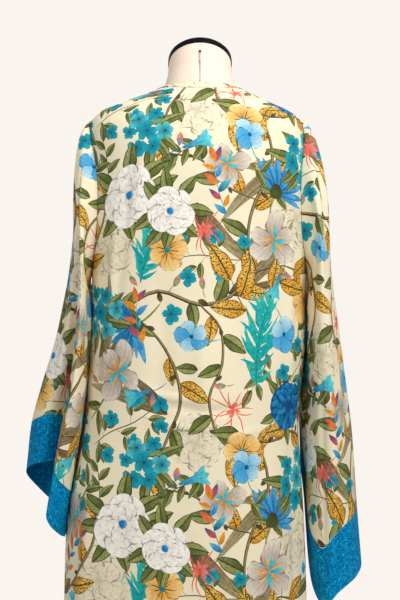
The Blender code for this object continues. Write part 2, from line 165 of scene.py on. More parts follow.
# The dress form's half sizes at each height: z, left, right, back, front
FORM_ROWS = [
    (0.735, 0.150, 0.150, 0.108, 0.095),
    (0.780, 0.156, 0.156, 0.113, 0.100),
    (0.840, 0.158, 0.158, 0.114, 0.102),
    (0.920, 0.146, 0.146, 0.103, 0.095),
    (0.980, 0.126, 0.126, 0.088, 0.086),
    (1.030, 0.117, 0.117, 0.080, 0.084),
    (1.080, 0.121, 0.121, 0.083, 0.094),
    (1.140, 0.133, 0.133, 0.090, 0.112),
    (1.180, 0.140, 0.140, 0.095, 0.120),
    (1.230, 0.146, 0.146, 0.098, 0.110),
    (1.280, 0.153, 0.153, 0.098, 0.092),
    (1.320, 0.166, 0.160, 0.094, 0.078),
    (1.345, 0.174, 0.164, 0.088, 0.068),
    (1.366, 0.1765, 0.163, 0.084, 0.064),
    (1.378, 0.162, 0.1455, 0.080, 0.062),
    (1.3930, 0.1230, 0.1110, 0.0730, 0.0600),
    (1.4005, 0.1025, 0.0955, 0.0685, 0.0590),
    (1.4075, 0.0835, 0.0805, 0.0640, 0.0580),
    (1.4120, 0.0705, 0.0690, 0.0602, 0.0564),
    (1.4160, 0.0605, 0.0605, 0.0570, 0.0550),
    (1.4370, 0.0545, 0.0545, 0.0520, 0.0510),
    (1.4570, 0.0525, 0.0525, 0.0500, 0.0500),
]

# The robe's half sizes, in the same columns, below the shoulder tips; above them it lies on the form
ROBE_ROWS = [
    (0.170, 0.236, 0.190, 0.150, 0.150),
    (0.350, 0.232, 0.184, 0.142, 0.144),
    (0.550, 0.228, 0.177, 0.134, 0.139),
    (0.650, 0.2255, 0.1745, 0.130, 0.137),
    (0.720, 0.221, 0.172, 0.127, 0.136),
    (0.790, 0.209, 0.168, 0.124, 0.135),
    (0.840, 0.198, 0.165, 0.122, 0.134),
    (0.890, 0.190, 0.167, 0.121, 0.134),
    (0.920, 0.188, 0.170, 0.120, 0.133),
    (0.980, 0.1845, 0.176, 0.117, 0.132),
    (1.030, 0.182, 0.177, 0.113, 0.132),
    (1.100, 0.181, 0.178, 0.110, 0.132),
    (1.180, 0.181, 0.178, 0.107, 0.127),
    (1.230, 0.181, 0.179, 0.106, 0.117),
    (1.280, 0.1825, 0.179, 0.104, 0.098),
    (1.320, 0.1850, 0.178, 0.100, 0.083),
    (1.345, 0.1860, 0.1745, 0.094, 0.072),
]

# Half distance between the two front edges: z, half distance
OPENING_ROWS = [
    (0.170, 0.056),
    (0.700, 0.050),
    (1.180, 0.046),
    (1.300, 0.054),
    (1.380, 0.060),
    (1.4075, 0.060),
    (1.4160, 0.0555),
]

# Long soft folds of the robe's body: angles in degrees at the upper and lower end
BODY_FOLDS = [
    # name, upper angle, lower angle, half width, height, upper z, lower z
    ("left_drop", 52.0, 30.0, 16.0, 0.007, 1.02, 0.40),
    ("left_hem", 70.0, 62.0, 11.0, -0.006, 0.70, 0.17),
    ("mid_back", 96.0, 94.0, 7.0, 0.0035, 1.20, 0.85),
    ("right_hem", 128.0, 132.0, 13.0, 0.006, 0.78, 0.17),
    ("right_side", 158.0, 156.0, 9.0, -0.004, 0.95, 0.30),
    ("front_right", 214.0, 216.0, 12.0, 0.008, 1.05, 0.17),
    ("front_left", 322.0, 320.0, 12.0, 0.008, 1.05, 0.17),
]

# Each sleeve from its armhole to its cuff's edge; the last row but one is the cuff's seam:
# x_in and z_in of its inner side, x_out and z_out of its outer side, y_back, y_front, and the
# weight of its folds
LEFT_STATIONS = [
    (0.1790, 1.098, 0.1790, 1.366, 0.043, -0.040, 0.00),
    (0.1870, 1.088, 0.1955, 1.345, 0.052, -0.046, 0.04),
    (0.1890, 1.076, 0.2035, 1.293, 0.060, -0.054, 0.10),
    (0.1855, 1.056, 0.2085, 1.232, 0.066, -0.060, 0.22),
    (0.1845, 1.028, 0.2145, 1.160, 0.070, -0.066, 0.38),
    (0.1840, 0.988, 0.2260, 1.080, 0.072, -0.072, 0.55),
    (0.1865, 0.928, 0.2440, 0.990, 0.072, -0.080, 0.75),
    (0.1970, 0.850, 0.2695, 0.910, 0.070, -0.086, 0.92),
    (0.2120, 0.765, 0.2880, 0.8485, 0.067, -0.090, 1.00),
    (0.2260, 0.690, 0.2980, 0.7690, 0.066, -0.092, 1.00),
]
RIGHT_STATIONS = [
    (0.1765, 1.098, 0.1765, 1.366, 0.043, -0.040, 0.00),
    (0.1835, 1.088, 0.1870, 1.343, 0.052, -0.046, 0.04),
    (0.1845, 1.076, 0.1985, 1.302, 0.060, -0.054, 0.10),
    (0.1820, 1.056, 0.2095, 1.238, 0.066, -0.060, 0.22),
    (0.1805, 1.028, 0.2155, 1.162, 0.070, -0.066, 0.38),
    (0.1795, 0.988, 0.2245, 1.080, 0.071, -0.072, 0.55),
    (0.1775, 0.908, 0.2400, 0.970, 0.070, -0.078, 0.75),
    (0.1755, 0.800, 0.2565, 0.845, 0.069, -0.082, 0.92),
    (0.1775, 0.690, 0.2660, 0.716, 0.068, -0.086, 1.00),
    (0.1805, 0.598, 0.2740, 0.618, 0.067, -0.088, 1.00),
]

# Section of each hanging sleeve, read from above: turn, across (0 at the body, 1 outside),
# deep (1 at the back, -1 in front), and the cuff's own rise or fall in metres
LEFT_FOLDS = [
    (0.00, 1.00, -0.25, -0.004),
    (0.10, 0.60, 0.34, 0.026),
    (0.20, 0.16, 0.12, 0.036),
    (0.29, 0.34, 0.96, -0.012),
    (0.36, 0.10, 0.76, -0.030),
    (0.44, -0.06, 0.16, -0.030),
    (0.55, 0.10, -0.22, -0.010),
    (0.66, 0.06, -0.60, -0.020),
    (0.78, 0.34, -1.00, -0.044),
    (0.90, 0.80, -0.82, -0.032),
]
RIGHT_FOLDS = [
    (0.00, 1.00, -0.15, 0.000),
    (0.10, 0.84, 0.62, -0.012),
    (0.20, 0.50, 1.00, -0.026),
    (0.29, 0.24, 0.86, -0.046),
    (0.36, 0.06, 0.38, -0.006),
    (0.46, -0.04, 0.02, 0.130),
    (0.58, -0.04, -0.52, 0.180),
    (0.72, 0.32, -1.00, 0.120),
    (0.86, 0.78, -0.84, 0.050),
]


def cubic(u, h, start, start_slope, end, end_slope):
    """A cubic's value at the share u of a stretch h long, from the values and slopes at its ends."""
    return (
        (2 * u**3 - 3 * u**2 + 1) * start
        + (u**3 - 2 * u**2 + u) * h * start_slope
        + (3 * u**2 - 2 * u**3) * end
        + (u**3 - u**2) * h * end_slope
    )


def smooth_curve(keys, values, at):
    """Values between the keys on a cubic that never overshoots them."""
    keys = np.asarray(keys, float)
    values = np.asarray(values, float)
    step = np.diff(keys)
    slope = np.diff(values) / step
    tangent = np.concatenate([[slope[0]], (slope[:-1] + slope[1:]) / 2, [slope[-1]]])
    turning = np.concatenate([[False], slope[:-1] * slope[1:] <= 0, [False]])
    tangent[turning] = 0.0
    steep = np.abs(slope)
    limit = 3 * np.minimum(np.append(steep[0], steep), np.append(steep, steep[-1]))
    tangent = np.clip(tangent, -limit, limit)
    at = np.clip(np.asarray(at, float), keys[0], keys[-1])
    i = np.clip(np.searchsorted(keys, at, side="right") - 1, 0, len(step) - 1)
    return cubic((at - keys[i]) / step[i], step[i], values[i], tangent[i], values[i + 1], tangent[i + 1])


def smooth_loop(keys, values, at):
    """A closed curve through the values, with keys from 0 to 1 round the loop."""
    keys = np.asarray(keys, float)
    values = np.asarray(values, float)
    long_keys = np.concatenate([keys[-2:] - 1, keys, keys[:3] + 1])
    long_values = np.concatenate([values[-2:], values, values[:3]])
    at = np.mod(np.asarray(at, float), 1.0)
    i = np.searchsorted(long_keys, at, side="right") - 1
    h = long_keys[i + 1] - long_keys[i]
    before = (long_values[i + 1] - long_values[i - 1]) / (long_keys[i + 1] - long_keys[i - 1])
    after = (long_values[i + 2] - long_values[i]) / (long_keys[i + 2] - long_keys[i])
    return cubic((at - long_keys[i]) / h, h, long_values[i], before, long_values[i + 1], after)


def ramp(value):
    """A soft step from 0 to 1."""
    value = np.clip(value, 0.0, 1.0)
    return value * value * (3 - 2 * value)


def unit(vectors):
    """The vectors, each brought to a length of 1."""
    return vectors / np.linalg.norm(vectors, axis=-1, keepdims=True)


def section(rows, z, angle):
    """A point of a body section, whose four half sizes come from the rows."""
    columns = np.array(rows).T
    left, right, back, front = (smooth_curve(columns[0], c, z) for c in columns[1:])
    across, deep = np.cos(angle), np.sin(angle)
    return (
        np.where(across >= 0, left, right) * across,
        np.where(deep >= 0, back, front) * deep,
    )


def robe_rows():
    """Rows of the robe's body: its own below the shoulder tips, and the form's above, moved out."""
    above = [row for row in FORM_ROWS if SHOULDER_TIP_Z <= row[0] <= NECK_Z]
    return ROBE_ROWS + [(row[0], *(size + REST_GAP for size in row[1:])) for row in above]


def robe_point(z, angle):
    """A point on the inner face of the robe's body, folds included."""
    z, angle = np.broadcast_arrays(np.asarray(z, float), np.asarray(angle, float))
    x, y = section(robe_rows(), z, angle)
    out = np.zeros_like(x)
    for _, upper, lower, half_width, height, upper_z, lower_z in BODY_FOLDS:
        down = (upper_z - z) / (upper_z - lower_z)
        middle = upper + (lower - upper) * np.clip(down, 0.0, 1.2)
        away = (np.degrees(angle) - middle + 180) % 360 - 180
        out += height * ramp(down) * np.exp(-((away / half_width) ** 2))
    reach = np.hypot(x, y)
    return np.stack([x * (1 + out / reach), y * (1 + out / reach), z], axis=-1)


def armhole_angle(z, widest_deg):
    """Half angle of the armhole at a height, zero outside it."""
    u = np.clip((z - UNDERARM_Z) / (SHOULDER_TIP_Z - UNDERARM_Z), 0.0, 1.0)
    return math.radians(widest_deg) * (4 * u * (1 - u)) ** ARMHOLE_ROUNDNESS


def front_edge_angle(z):
    """Angle from the side to the front edge, at a height."""
    keys, halves = np.array(OPENING_ROWS).T
    half = smooth_curve(keys, halves, z)
    width, _ = section(robe_rows(), z, np.zeros_like(z))
    return np.arccos(np.clip(half / width, -1.0, 1.0))


def body_outward(z, angle):
    """The robe's outward direction at a place on its body."""
    low, high = np.clip(z - SMALL, HEM_Z, NECK_Z), np.clip(z + SMALL, HEM_Z, NECK_Z)
    up = robe_point(high, angle) - robe_point(low, angle)
    return unit(np.cross(robe_point(z, angle + SMALL) - robe_point(z, angle - SMALL), up))


def armhole_place(side, turn):
    """A point on the robe's inner face along the armhole, the way out there, and how low it is from 0 to 1.

    turn goes from the shoulder tip over the back.
    """
    low = (1 - np.cos(2 * math.pi * turn)) / 2
    z = SHOULDER_TIP_Z - (SHOULDER_TIP_Z - UNDERARM_Z) * low
    behind, before = armhole_angle(z, ARMHOLE_BACK_DEG), -armhole_angle(z, ARMHOLE_FRONT_DEG)
    opened = np.where(np.mod(turn, 1.0) < 0.5, behind, before)
    angle = opened if side > 0 else math.pi - opened
    return robe_point(z, angle), body_outward(z, angle), low


def armhole_point(side, turn):
    """A point just off the robe's outer face along the armhole."""
    place, outward, low = armhole_place(side, turn)
    lift = CLOTH + ARMHOLE_LIFT + CLOTH * low
    return place + outward * lift[..., None]


def clear_of_body(points):
    """The points, moved out from the pole wherever they come too near the robe's body."""
    x, y, z = np.moveaxis(points, -1, 0)
    along_x, _ = section(robe_rows(), z, np.where(x >= 0, 0.0, math.pi))
    _, along_y = section(robe_rows(), z, np.where(y >= 0, math.pi / 2, -math.pi / 2))
    body = robe_point(z, np.arctan2(y / np.abs(along_y), x / np.abs(along_x)))
    reach = np.hypot(x, y)
    least = np.hypot(body[..., 0], body[..., 1]) + SLEEVE_CLEAR
    spare = reach - least
    grown = (least + (spare + np.hypot(spare, SLEEVE_SOFTNESS)) / 2) / reach
    return np.stack([x * grown, y * grown, z], axis=-1)


def sleeve_point(side, turn, t):
    """A point on a sleeve's inner face. turn goes round it from the top over the back, t goes down it."""
    stations, folds = (LEFT_STATIONS, LEFT_FOLDS) if side > 0 else (RIGHT_STATIONS, RIGHT_FOLDS)
    turn, t = np.broadcast_arrays(np.asarray(turn, float), np.asarray(t, float))
    keys = np.arange(len(stations)) / (len(stations) - 1)
    x_in, z_in, x_out, z_out, y_back, y_front, fold = (
        smooth_curve(keys, column, t) for column in np.array(stations).T
    )
    fold_turn, fold_across, fold_deep, fold_drop = np.array(folds).T
    round_across = (1 + np.cos(2 * math.pi * turn)) / 2
    across = (1 - fold) * round_across + fold * smooth_loop(fold_turn, fold_across, turn)
    deep = (1 - fold) * np.sin(2 * math.pi * turn) + fold * smooth_loop(fold_turn, fold_deep, turn)
    middle, half = (y_back + y_front) / 2, (y_back - y_front) / 2
    x = side * (x_in + (x_out - x_in) * across)
    z = z_in + (z_out - z_in) * round_across + fold**2 * smooth_loop(fold_turn, fold_drop, turn)
    hanging = clear_of_body(np.stack([x, middle + half * deep, z], axis=-1))
    held = 1 - ramp(t / keys[1])
    return hanging + (armhole_point(side, turn) - hanging) * held[..., None]


def sleeve_outward(side, turn, t):
    """The sleeve's outward direction at a place on it."""
    low, high = np.clip(t - SMALL, 0.0, 1.0), np.clip(t + SMALL, 0.0, 1.0)
    down = sleeve_point(side, turn, high) - sleeve_point(side, turn, low)
    round_it = sleeve_point(side, turn + SMALL, t) - sleeve_point(side, turn - SMALL, t)
    return side * unit(np.cross(down, round_it))


# Soft creases of the body: degrees round it and height at both ends, half width, height, bow in metres
BODY_CREASES = [
    # back, shoulders and armholes
    (62.0, 1.340, 47.0, 1.150, 0.013, 0.0030, 0.010),
    (50.0, 1.300, 38.0, 1.020, 0.010, -0.0026, 0.012),
    (40.0, 1.220, 31.0, 0.900, 0.009, 0.0030, 0.006),
    (118.0, 1.340, 134.0, 1.120, 0.013, 0.0028, -0.010),
    (131.0, 1.290, 143.0, 0.980, 0.010, -0.0024, -0.008),
    (146.0, 1.200, 150.0, 0.860, 0.009, 0.0030, -0.004),
    (78.0, 1.385, 102.0, 1.380, 0.008, 0.0014, -0.006),
    # the hollow of the back
    (70.0, 1.120, 66.0, 0.820, 0.020, -0.0049, 0.008),
    (88.0, 1.060, 92.0, 0.860, 0.016, 0.0032, 0.004),
    (108.0, 1.140, 114.0, 0.840, 0.018, -0.0043, -0.008),
    # across, under the seat
    (56.0, 0.925, 96.0, 0.905, 0.006, 0.0032, -0.010),
    (72.0, 0.893, 122.0, 0.898, 0.007, -0.0035, -0.012),
    (60.0, 0.872, 104.0, 0.860, 0.006, 0.0029, -0.008),
    (96.0, 0.846, 136.0, 0.866, 0.006, 0.0018, -0.009),
    # the skirt's back
    (40.0, 0.880, 24.0, 0.330, 0.014, 0.0050, 0.010),
    (56.0, 0.780, 48.0, 0.170, 0.017, -0.0048, 0.006),
    (74.0, 0.700, 78.0, 0.170, 0.019, 0.0061, -0.006),
    (95.0, 0.760, 99.0, 0.250, 0.016, -0.0052, 0.006),
    (112.0, 0.690, 110.0, 0.170, 0.017, 0.0067, -0.004),
    (131.0, 0.820, 142.0, 0.300, 0.015, 0.0042, 0.008),
    (150.0, 0.900, 152.0, 0.170, 0.012, -0.0038, 0.004),
    (166.0, 0.860, 168.0, 0.260, 0.012, 0.0040, 0.004),
    # fronts
    (214.0, 1.290, 226.0, 1.060, 0.012, 0.0030, 0.008),
    (230.0, 1.180, 222.0, 0.800, 0.013, -0.0032, 0.006),
    (206.0, 1.060, 202.0, 0.560, 0.012, 0.0036, -0.006),
    (236.0, 0.920, 240.0, 0.300, 0.013, 0.0036, 0.006),
    (196.0, 0.820, 194.0, 0.170, 0.013, -0.0038, 0.004),
    (222.0, 0.640, 226.0, 0.170, 0.012, 0.0040, -0.004),
    (326.0, 1.290, 314.0, 1.060, 0.012, 0.0030, -0.008),
    (310.0, 1.180, 318.0, 0.800, 0.013, -0.0032, -0.006),
    (334.0, 1.060, 338.0, 0.520, 0.012, 0.0036, 0.006),
    (304.0, 0.920, 300.0, 0.300, 0.013, 0.0036, -0.006),
    (346.0, 0.800, 348.0, 0.170, 0.013, -0.0038, -0.004),
    (318.0, 0.640, 314.0, 0.170, 0.012, 0.0040, 0.004),
]

# Soft creases of each sleeve: turn and share of its length at both ends, half width, height, bow
LEFT_CREASES = [
    (0.06, 0.02, 0.11, 0.46, 0.012, 0.0049, 0.006),
    (0.16, 0.05, 0.19, 0.52, 0.009, -0.0041, 0.005),
    (0.26, 0.06, 0.28, 0.40, 0.010, 0.0043, -0.006),
    (0.05, 0.42, 0.10, 0.84, 0.010, -0.0038, 0.008),
    (0.02, 0.55, 0.03, 0.95, 0.011, 0.0043, -0.005),
    (0.24, 0.44, 0.27, 0.93, 0.008, 0.0035, 0.004),
    (0.33, 0.30, 0.36, 0.80, 0.010, -0.0026, 0.006),
    (0.42, 0.24, 0.44, 0.72, 0.012, 0.0032, -0.004),
    (0.60, 0.20, 0.63, 0.76, 0.012, 0.0034, 0.004),
    (0.74, 0.08, 0.72, 0.62, 0.011, -0.0043, -0.006),
    (0.86, 0.04, 0.84, 0.58, 0.012, 0.0046, 0.005),
    (0.94, 0.40, 0.93, 0.92, 0.011, -0.0041, 0.004),
    (0.80, 0.56, 0.79, 0.96, 0.010, 0.0041, -0.004),
    (0.285, 0.30, 0.285, 0.97, 0.007, -0.0035, 0.000),
    (0.34, 0.35, 0.34, 0.96, 0.009, 0.0032, 0.003),
    (0.41, 0.36, 0.41, 0.97, 0.008, -0.0040, 0.000),
]
RIGHT_CREASES = [
    (0.43, 0.48, 0.42, 0.97, 0.010, -0.0042, 0.003),
    (0.05, 0.03, 0.09, 0.50, 0.012, 0.0046, -0.006),
    (0.13, 0.04, 0.15, 0.44, 0.009, -0.0043, 0.005),
    (0.22, 0.05, 0.24, 0.56, 0.010, 0.0046, 0.006),
    (0.30, 0.10, 0.33, 0.62, 0.009, -0.0038, -0.004),
    (0.09, 0.46, 0.12, 0.90, 0.010, -0.0038, 0.006),
    (0.18, 0.52, 0.20, 0.96, 0.010, 0.0041, -0.005),
    (0.27, 0.60, 0.28, 0.97, 0.008, -0.0032, 0.004),
    (0.41, 0.20, 0.42, 0.74, 0.012, 0.0030, 0.004),
    (0.52, 0.30, 0.51, 0.80, 0.011, -0.0028, -0.004),
    (0.63, 0.18, 0.66, 0.70, 0.012, 0.0034, 0.004),
    (0.77, 0.06, 0.75, 0.60, 0.011, -0.0043, 0.006),
    (0.88, 0.05, 0.87, 0.64, 0.012, 0.0043, -0.005),
    (0.95, 0.50, 0.95, 0.95, 0.011, 0.0038, 0.004),
]

# Usual sizes that turn a table's degrees, turns and shares into metres
BODY_GIRTH = 1.13
SLEEVE_GIRTH = 0.42
SLEEVE_LENGTH = 0.62


def crease_height(creases, across, down, across_size, down_size, closed):
    """Height of all creases at places in the table's own units, which have these sizes in metres.

    closed is how many units across go once round the cloth.
    """
    height = np.zeros(np.broadcast(across, down).shape)
    for start_across, start_down, end_across, end_down, half_width, high, bow_out in creases:
        way = np.array([(end_across - start_across) * across_size, (end_down - start_down) * down_size])
        length = np.hypot(*way)
        way = way / length
        x = across - start_across
        x = (x - np.round(x / closed) * closed) * across_size
        y = (down - start_down) * down_size
        share = (x * way[0] + y * way[1]) / length
        arch = np.sin(math.pi * np.clip(share, 0, 1))
        off = y * way[0] - x * way[1] - bow_out * arch
        height += high * arch**CREASE_FADE_POWER * np.exp(-((off / half_width) ** 2))
    return height


def run_lengths(place, axis):
    """Length along the cloth from the first row or column to each place."""
    steps = np.linalg.norm(np.diff(place, axis=axis), axis=-1)
    start = np.zeros_like(steps.take([0], axis))
    return np.concatenate([start, np.cumsum(steps, axis=axis)], axis=axis)


def grid_waves(source):
    """The field on a grid with free edges whose second differences are the source, by a cosine series."""
    rows, columns = source.shape[:2]
    mirrored = np.concatenate([source, source[::-1]], axis=0)
    mirrored = np.concatenate([mirrored, mirrored[:, ::-1]], axis=1)
    waves = np.fft.fft2(mirrored, axes=(0, 1))
    size = (2 * np.cos(math.pi * np.arange(2 * rows) / rows) - 2)[:, None]
    size = size + 2 * np.cos(math.pi * np.arange(2 * columns) / columns) - 2
    size[0, 0] = 1.0
    waves[0, 0] = 0.0
    return np.fft.ifft2(waves / size[..., None], axes=(0, 1)).real[:rows, :columns]


def laid_flat(place, flat):
    """The grid laid flat from a first guess, with its cells' lengths and angles kept as well as can be."""
    across, up = np.diff(place, axis=1), np.diff(place, axis=0)
    first = unit(across[1:] + across[:-1])
    second = up[:, 1:] + up[:, :-1]
    second = unit(second - first * (second * first).sum(axis=-1, keepdims=True))

    def in_cell(edge):
        flat_edge = np.stack([(edge * first).sum(axis=-1), (edge * second).sum(axis=-1)], axis=-1)
        return unit(flat_edge) * np.linalg.norm(edge, axis=-1, keepdims=True)

    sides = np.stack([in_cell(across[:-1]), in_cell(across[1:]), in_cell(up[:, :-1]), in_cell(up[:, 1:])])
    x, y = sides[..., 0], sides[..., 1]
    for _ in range(FLATTEN_ROUNDS):
        flat_across, flat_up = np.diff(flat, axis=1), np.diff(flat, axis=0)
        edges = np.stack([flat_across[:-1], flat_across[1:], flat_up[:, :-1], flat_up[:, 1:]])
        ahead = (sides * edges).sum(axis=(0, -1))
        aside = (x * edges[..., 1] - y * edges[..., 0]).sum(axis=0)
        size = np.hypot(ahead, aside)
        cosine, sine = ahead / size, aside / size
        low, high, left, right = np.stack([cosine * x - sine * y, sine * x + cosine * y], axis=-1)
        want_across = np.concatenate([low[:1], (low[1:] + high[:-1]) / 2, high[-1:]], axis=0)
        want_up = np.concatenate([left[:, :1], (left[:, 1:] + right[:, :-1]) / 2, right[:, -1:]], axis=1)
        source = np.zeros_like(flat)
        source[:, :-1] += want_across
        source[:, 1:] -= want_across
        source[:-1] += want_up
        source[1:] -= want_up
        flat = grid_waves(source)
    return flat


class Surface:
    """A cloth's outer face: a fine grid of places, the directions out of it and its flat pattern.

    Rows run up the cloth and columns to the right, as seen from outside.
    """

    def __init__(self, place, middle):
        self.place = place
        self.middle = middle
        self.outward = unit(np.cross(np.gradient(place, axis=1), np.gradient(place, axis=0)))
        across = run_lengths(place, 1)
        across = across - across[:, [middle]]
        self.flat = np.stack([across, run_lengths(place, 0)], axis=-1)

    def lay_flat(self):
        """Mends the flat pattern where rows and columns cross at a slant."""
        flat = laid_flat(self.place, self.flat)
        self.flat = flat - flat[0, self.middle]


def node_count(length):
    """An odd number of nodes, so that one lies in the middle, at even steps of about NODE_STEP."""
    return 2 * math.ceil(length / NODE_STEP / 2) + 1


def even_steps(values, places):
    """Values along a line at even steps, from a fine run of places at them."""
    lengths = run_lengths(places, 0).max(axis=1)
    return np.interp(np.linspace(0.0, lengths[-1], node_count(lengths[-1])), lengths, values)


def body_place(z, angle):
    """A point on the robe's outer face, creases included."""
    creased = crease_height(BODY_CREASES, np.degrees(angle), z, BODY_GIRTH / 360, 1.0, 360.0)
    room = ramp((NECK_Z + CREASE_TOP - z) / CREASE_FADE)
    return robe_point(z, angle) + body_outward(z, angle) * (CLOTH + creased * room)[..., None]


def body_surface(start_of, end_of, middle_share):
    """A body panel between two edges, each a function from height to angle."""
    fine = np.linspace(HEM_Z, NECK_Z, PANEL_SAMPLES[0])
    start, end = start_of(fine), end_of(fine)
    shares = np.linspace(0.0, 1.0, PANEL_SAMPLES[1])
    probe = robe_point(fine[:, None], start[:, None] + (end - start)[:, None] * shares)
    z = even_steps(fine, probe)
    start, end = start_of(z)[:, None], end_of(z)[:, None]
    widest = int(np.argmax((end - start)[:, 0]))
    columns = np.linspace(0.0, 1.0, COLUMN_SAMPLES)
    row = robe_point(z[widest], start[widest] + (end - start)[widest] * columns)
    columns = even_steps(columns, row[:, None])
    place = body_place(z[:, None], start + (end - start) * columns)
    return Surface(place, round(middle_share * (len(columns) - 1)))


def side_edge(z, armhole_deg):
    """A panel's side edge, as an angle from the side; seams here are half as wide as in the solids."""
    side = armhole_angle(z, armhole_deg)
    x, y = section(robe_rows(), z, side)
    return side + SEAM / 4 / np.hypot(x, y)


def back_side(z):
    return side_edge(z, ARMHOLE_BACK_DEG)


def front_side(z):
    return side_edge(z, ARMHOLE_FRONT_DEG)


def sleeve_place(side, turn, t):
    """A point on a sleeve's outer face, creases included; its head lies down on the body's panels."""
    creases = LEFT_CREASES if side > 0 else RIGHT_CREASES
    creased = crease_height(creases, turn, t, SLEEVE_GIRTH, SLEEVE_LENGTH, 1.0)
    head = 1 - ramp(t / HEAD_SHARE)
    lift = (CLOTH + creased) * (1 - head)
    _, off_body, low = armhole_place(side, turn)
    drop = (ARMHOLE_LIFT + CLOTH * low - SHELL - HEAD_GAP) * head
    outward = sleeve_outward(side, turn, np.maximum(t, STEADY_SHARE))
    raised = sleeve_point(side, turn, t) + outward * lift[..., None]
    return raised - off_body * drop[..., None]


def sleeve_surface(side, start, end):
    """A stretch of a sleeve, opened along its underarm; its rows run up it."""
    fine = np.linspace(end, start, SLEEVE_SAMPLES[0])
    turns = np.linspace(-0.5, 0.5, SLEEVE_SAMPLES[1])
    t = even_steps(fine, sleeve_place(side, turns, fine[:, None]))
    half = 0.5 - EDGE_GAP / SLEEVE_GIRTH
    turn = side * np.linspace(-half, half, node_count(SLEEVE_GIRTH))
    return Surface(sleeve_place(side, turn, t[:, None]), len(turn) // 2)


def band_surface():
    """The neckband: up the right front, round the neck and down the left front, its open edge last."""
    rise = np.linspace(HEM_Z, NECK_Z, BAND_SAMPLES[0])
    edge = front_edge_angle(rise)
    down = ramp((rise - BAND_TURN_Z) / (NECK_Z - BAND_TURN_Z))
    neck = np.linspace(math.pi + edge[-1], -edge[-1], BAND_SAMPLES[1])[1:-1]
    angle = np.concatenate([math.pi + edge, neck, -edge[::-1]])
    z = np.concatenate([rise, np.full(len(neck), NECK_Z), rise[::-1]])
    down = np.concatenate([down, np.ones(len(neck)), down[::-1]])
    lengths = run_lengths(robe_point(z, angle)[:, None], 0)[:, 0]
    even = np.linspace(0.0, lengths[-1], node_count(lengths[-1]))
    angle, z, down = (np.interp(even, lengths, values) for values in (angle, z, down))
    along = np.linalg.norm(robe_point(z, angle + SMALL) - robe_point(z, angle), axis=1) / SMALL
    fall = np.linalg.norm(robe_point(z, angle) - robe_point(z - SMALL, angle), axis=1) / SMALL
    share = np.linspace(1.0, 0.0, BAND_COLUMNS)
    way = share * BAND_WIDTH
    side = np.where(np.cos(angle) >= 0, 1.0, -1.0)
    a = angle[:, None] + way * (side * (1 - down) / along)[:, None]
    h = z[:, None] - way * (down / fall)[:, None]
    round_edge = np.sqrt(np.clip(1 - (2 * share - 1) ** 4, 0.0, 1.0))
    lift = CLOTH + BAND_LOW + BAND_HIGH * round_edge
    return Surface(robe_point(h, a) + body_outward(h, a) * lift[:, None], BAND_COLUMNS // 2)


# The print: how closely its layout is drawn in, its repeat in metres, and the seed of its random draws
CLOSENESS = 0.84
REPEAT = np.array([0.56, 0.64]) * CLOSENESS
SEED = 11

# The cells in which free ground is looked for, steps along a vine, and steps along a petal's side with
# their fewest and most and the ruffles of its two sides
CELL = 0.004
SPROUT_STEP = 0.040
KNOT_STEP = 0.085
PETAL_STEP = 0.0028
PETAL_STEPS = (6, 13)
RUFFLES = (15, 13)

# What springs from a vine: ochre leaves, leaves and buds, each up to a share of chance, then nothing
OCHRE_CHANCE = 0.46
LEAF_CHANCE = 0.74
BUD_CHANCE = 0.84

# How the cloth's material draws the inside of a shape, and how full and blunt outlined petals and
# leaves are, which the material has to know to draw their rims
INK, LEAF, PETAL, OUTLINED, DRAWN, OCHRE_LEAF, BLADE = range(1, 8)
OUTLINED_FULLEST = 1.45
OUTLINED_BLUNT = 0.5
LEAF_FULLEST = 0.82
LEAF_BLUNT = 0.82

# At each corner: three channels of colour, the share along and across the shape, and its style
INK_CHANNELS = 6


def rgb(code):
    """A linear colour from a six-digit sRGB code."""
    parts = np.array([int(code[k : k + 2], 16) for k in (0, 2, 4)]) / 255
    return np.where(parts <= 0.04045, parts / 12.92, ((parts + 0.055) / 1.055) ** 2.4)


# Colours of the print
GROUND = rgb("ede4c8")
ROSE_SHADE = rgb("cfc8b0")
WHITE = rgb("fdfbf5")
SHADOW_WHITE = rgb("d8d1c5")
TEAL = rgb("12abc2")
DEEP_TEAL = rgb("08788c")
LIGHT_TEAL = rgb("5cd0d8")
TURQUOISE = rgb("0fa5a0")
BRIGHT_TURQUOISE = rgb("33c4bb")
BLUE = rgb("0d80c4")
BRIGHT_BLUE = rgb("2c9bd6")
DEEP_BLUE = rgb("074b82")
SKY = rgb("5fb2de")
PALE_SKY = rgb("bfe2ee")
OLIVE = rgb("838c48")
DEEP_OLIVE = rgb("455226")
PALE_OLIVE = rgb("b0b672")
OCHRE = rgb("e39c1e")
PALE_OCHRE = rgb("f3c564")
CREAM_OCHRE = rgb("f4d694")
BROWN = rgb("6a5a3d")
DEEP_BROWN = rgb("3d321e")
KHAKI = rgb("93835a")
PALE_KHAKI = rgb("b3a57a")
MAUVE = rgb("9a8a7a")
PALE_MAUVE = rgb("e6dccf")
CORAL = rgb("e4584c")
PALE_CORAL = rgb("f28a78")
ORANGE = rgb("ee8a2c")
RIM_BROWN = rgb("8a5a14")

# Colours of the cuff bands, the form and its stand, the threads and the studio
CUFF_DEEP_BLUE = rgb("00589a")
CUFF_BLUE = rgb("0094d0")
CUFF_LIGHT_BLUE = rgb("18bae0")
LINEN = rgb("fbeade")
DEEP_LINEN = rgb("f8e3d4")
CREAM_THREAD = rgb("d8d0b4")
BLUE_THREAD = rgb("0b5c96")
LINEN_THREAD = rgb("8f7866")
STAND_BLACK = rgb("2e3033")
PALE_METAL = rgb("c9c2b8")
CAP_BLACK = rgb("080c10")
DEEP_FLOOR = rgb("d9d3cb")
LIGHT_FLOOR = rgb("e0dad2")
WALL = rgb("faf4ef")


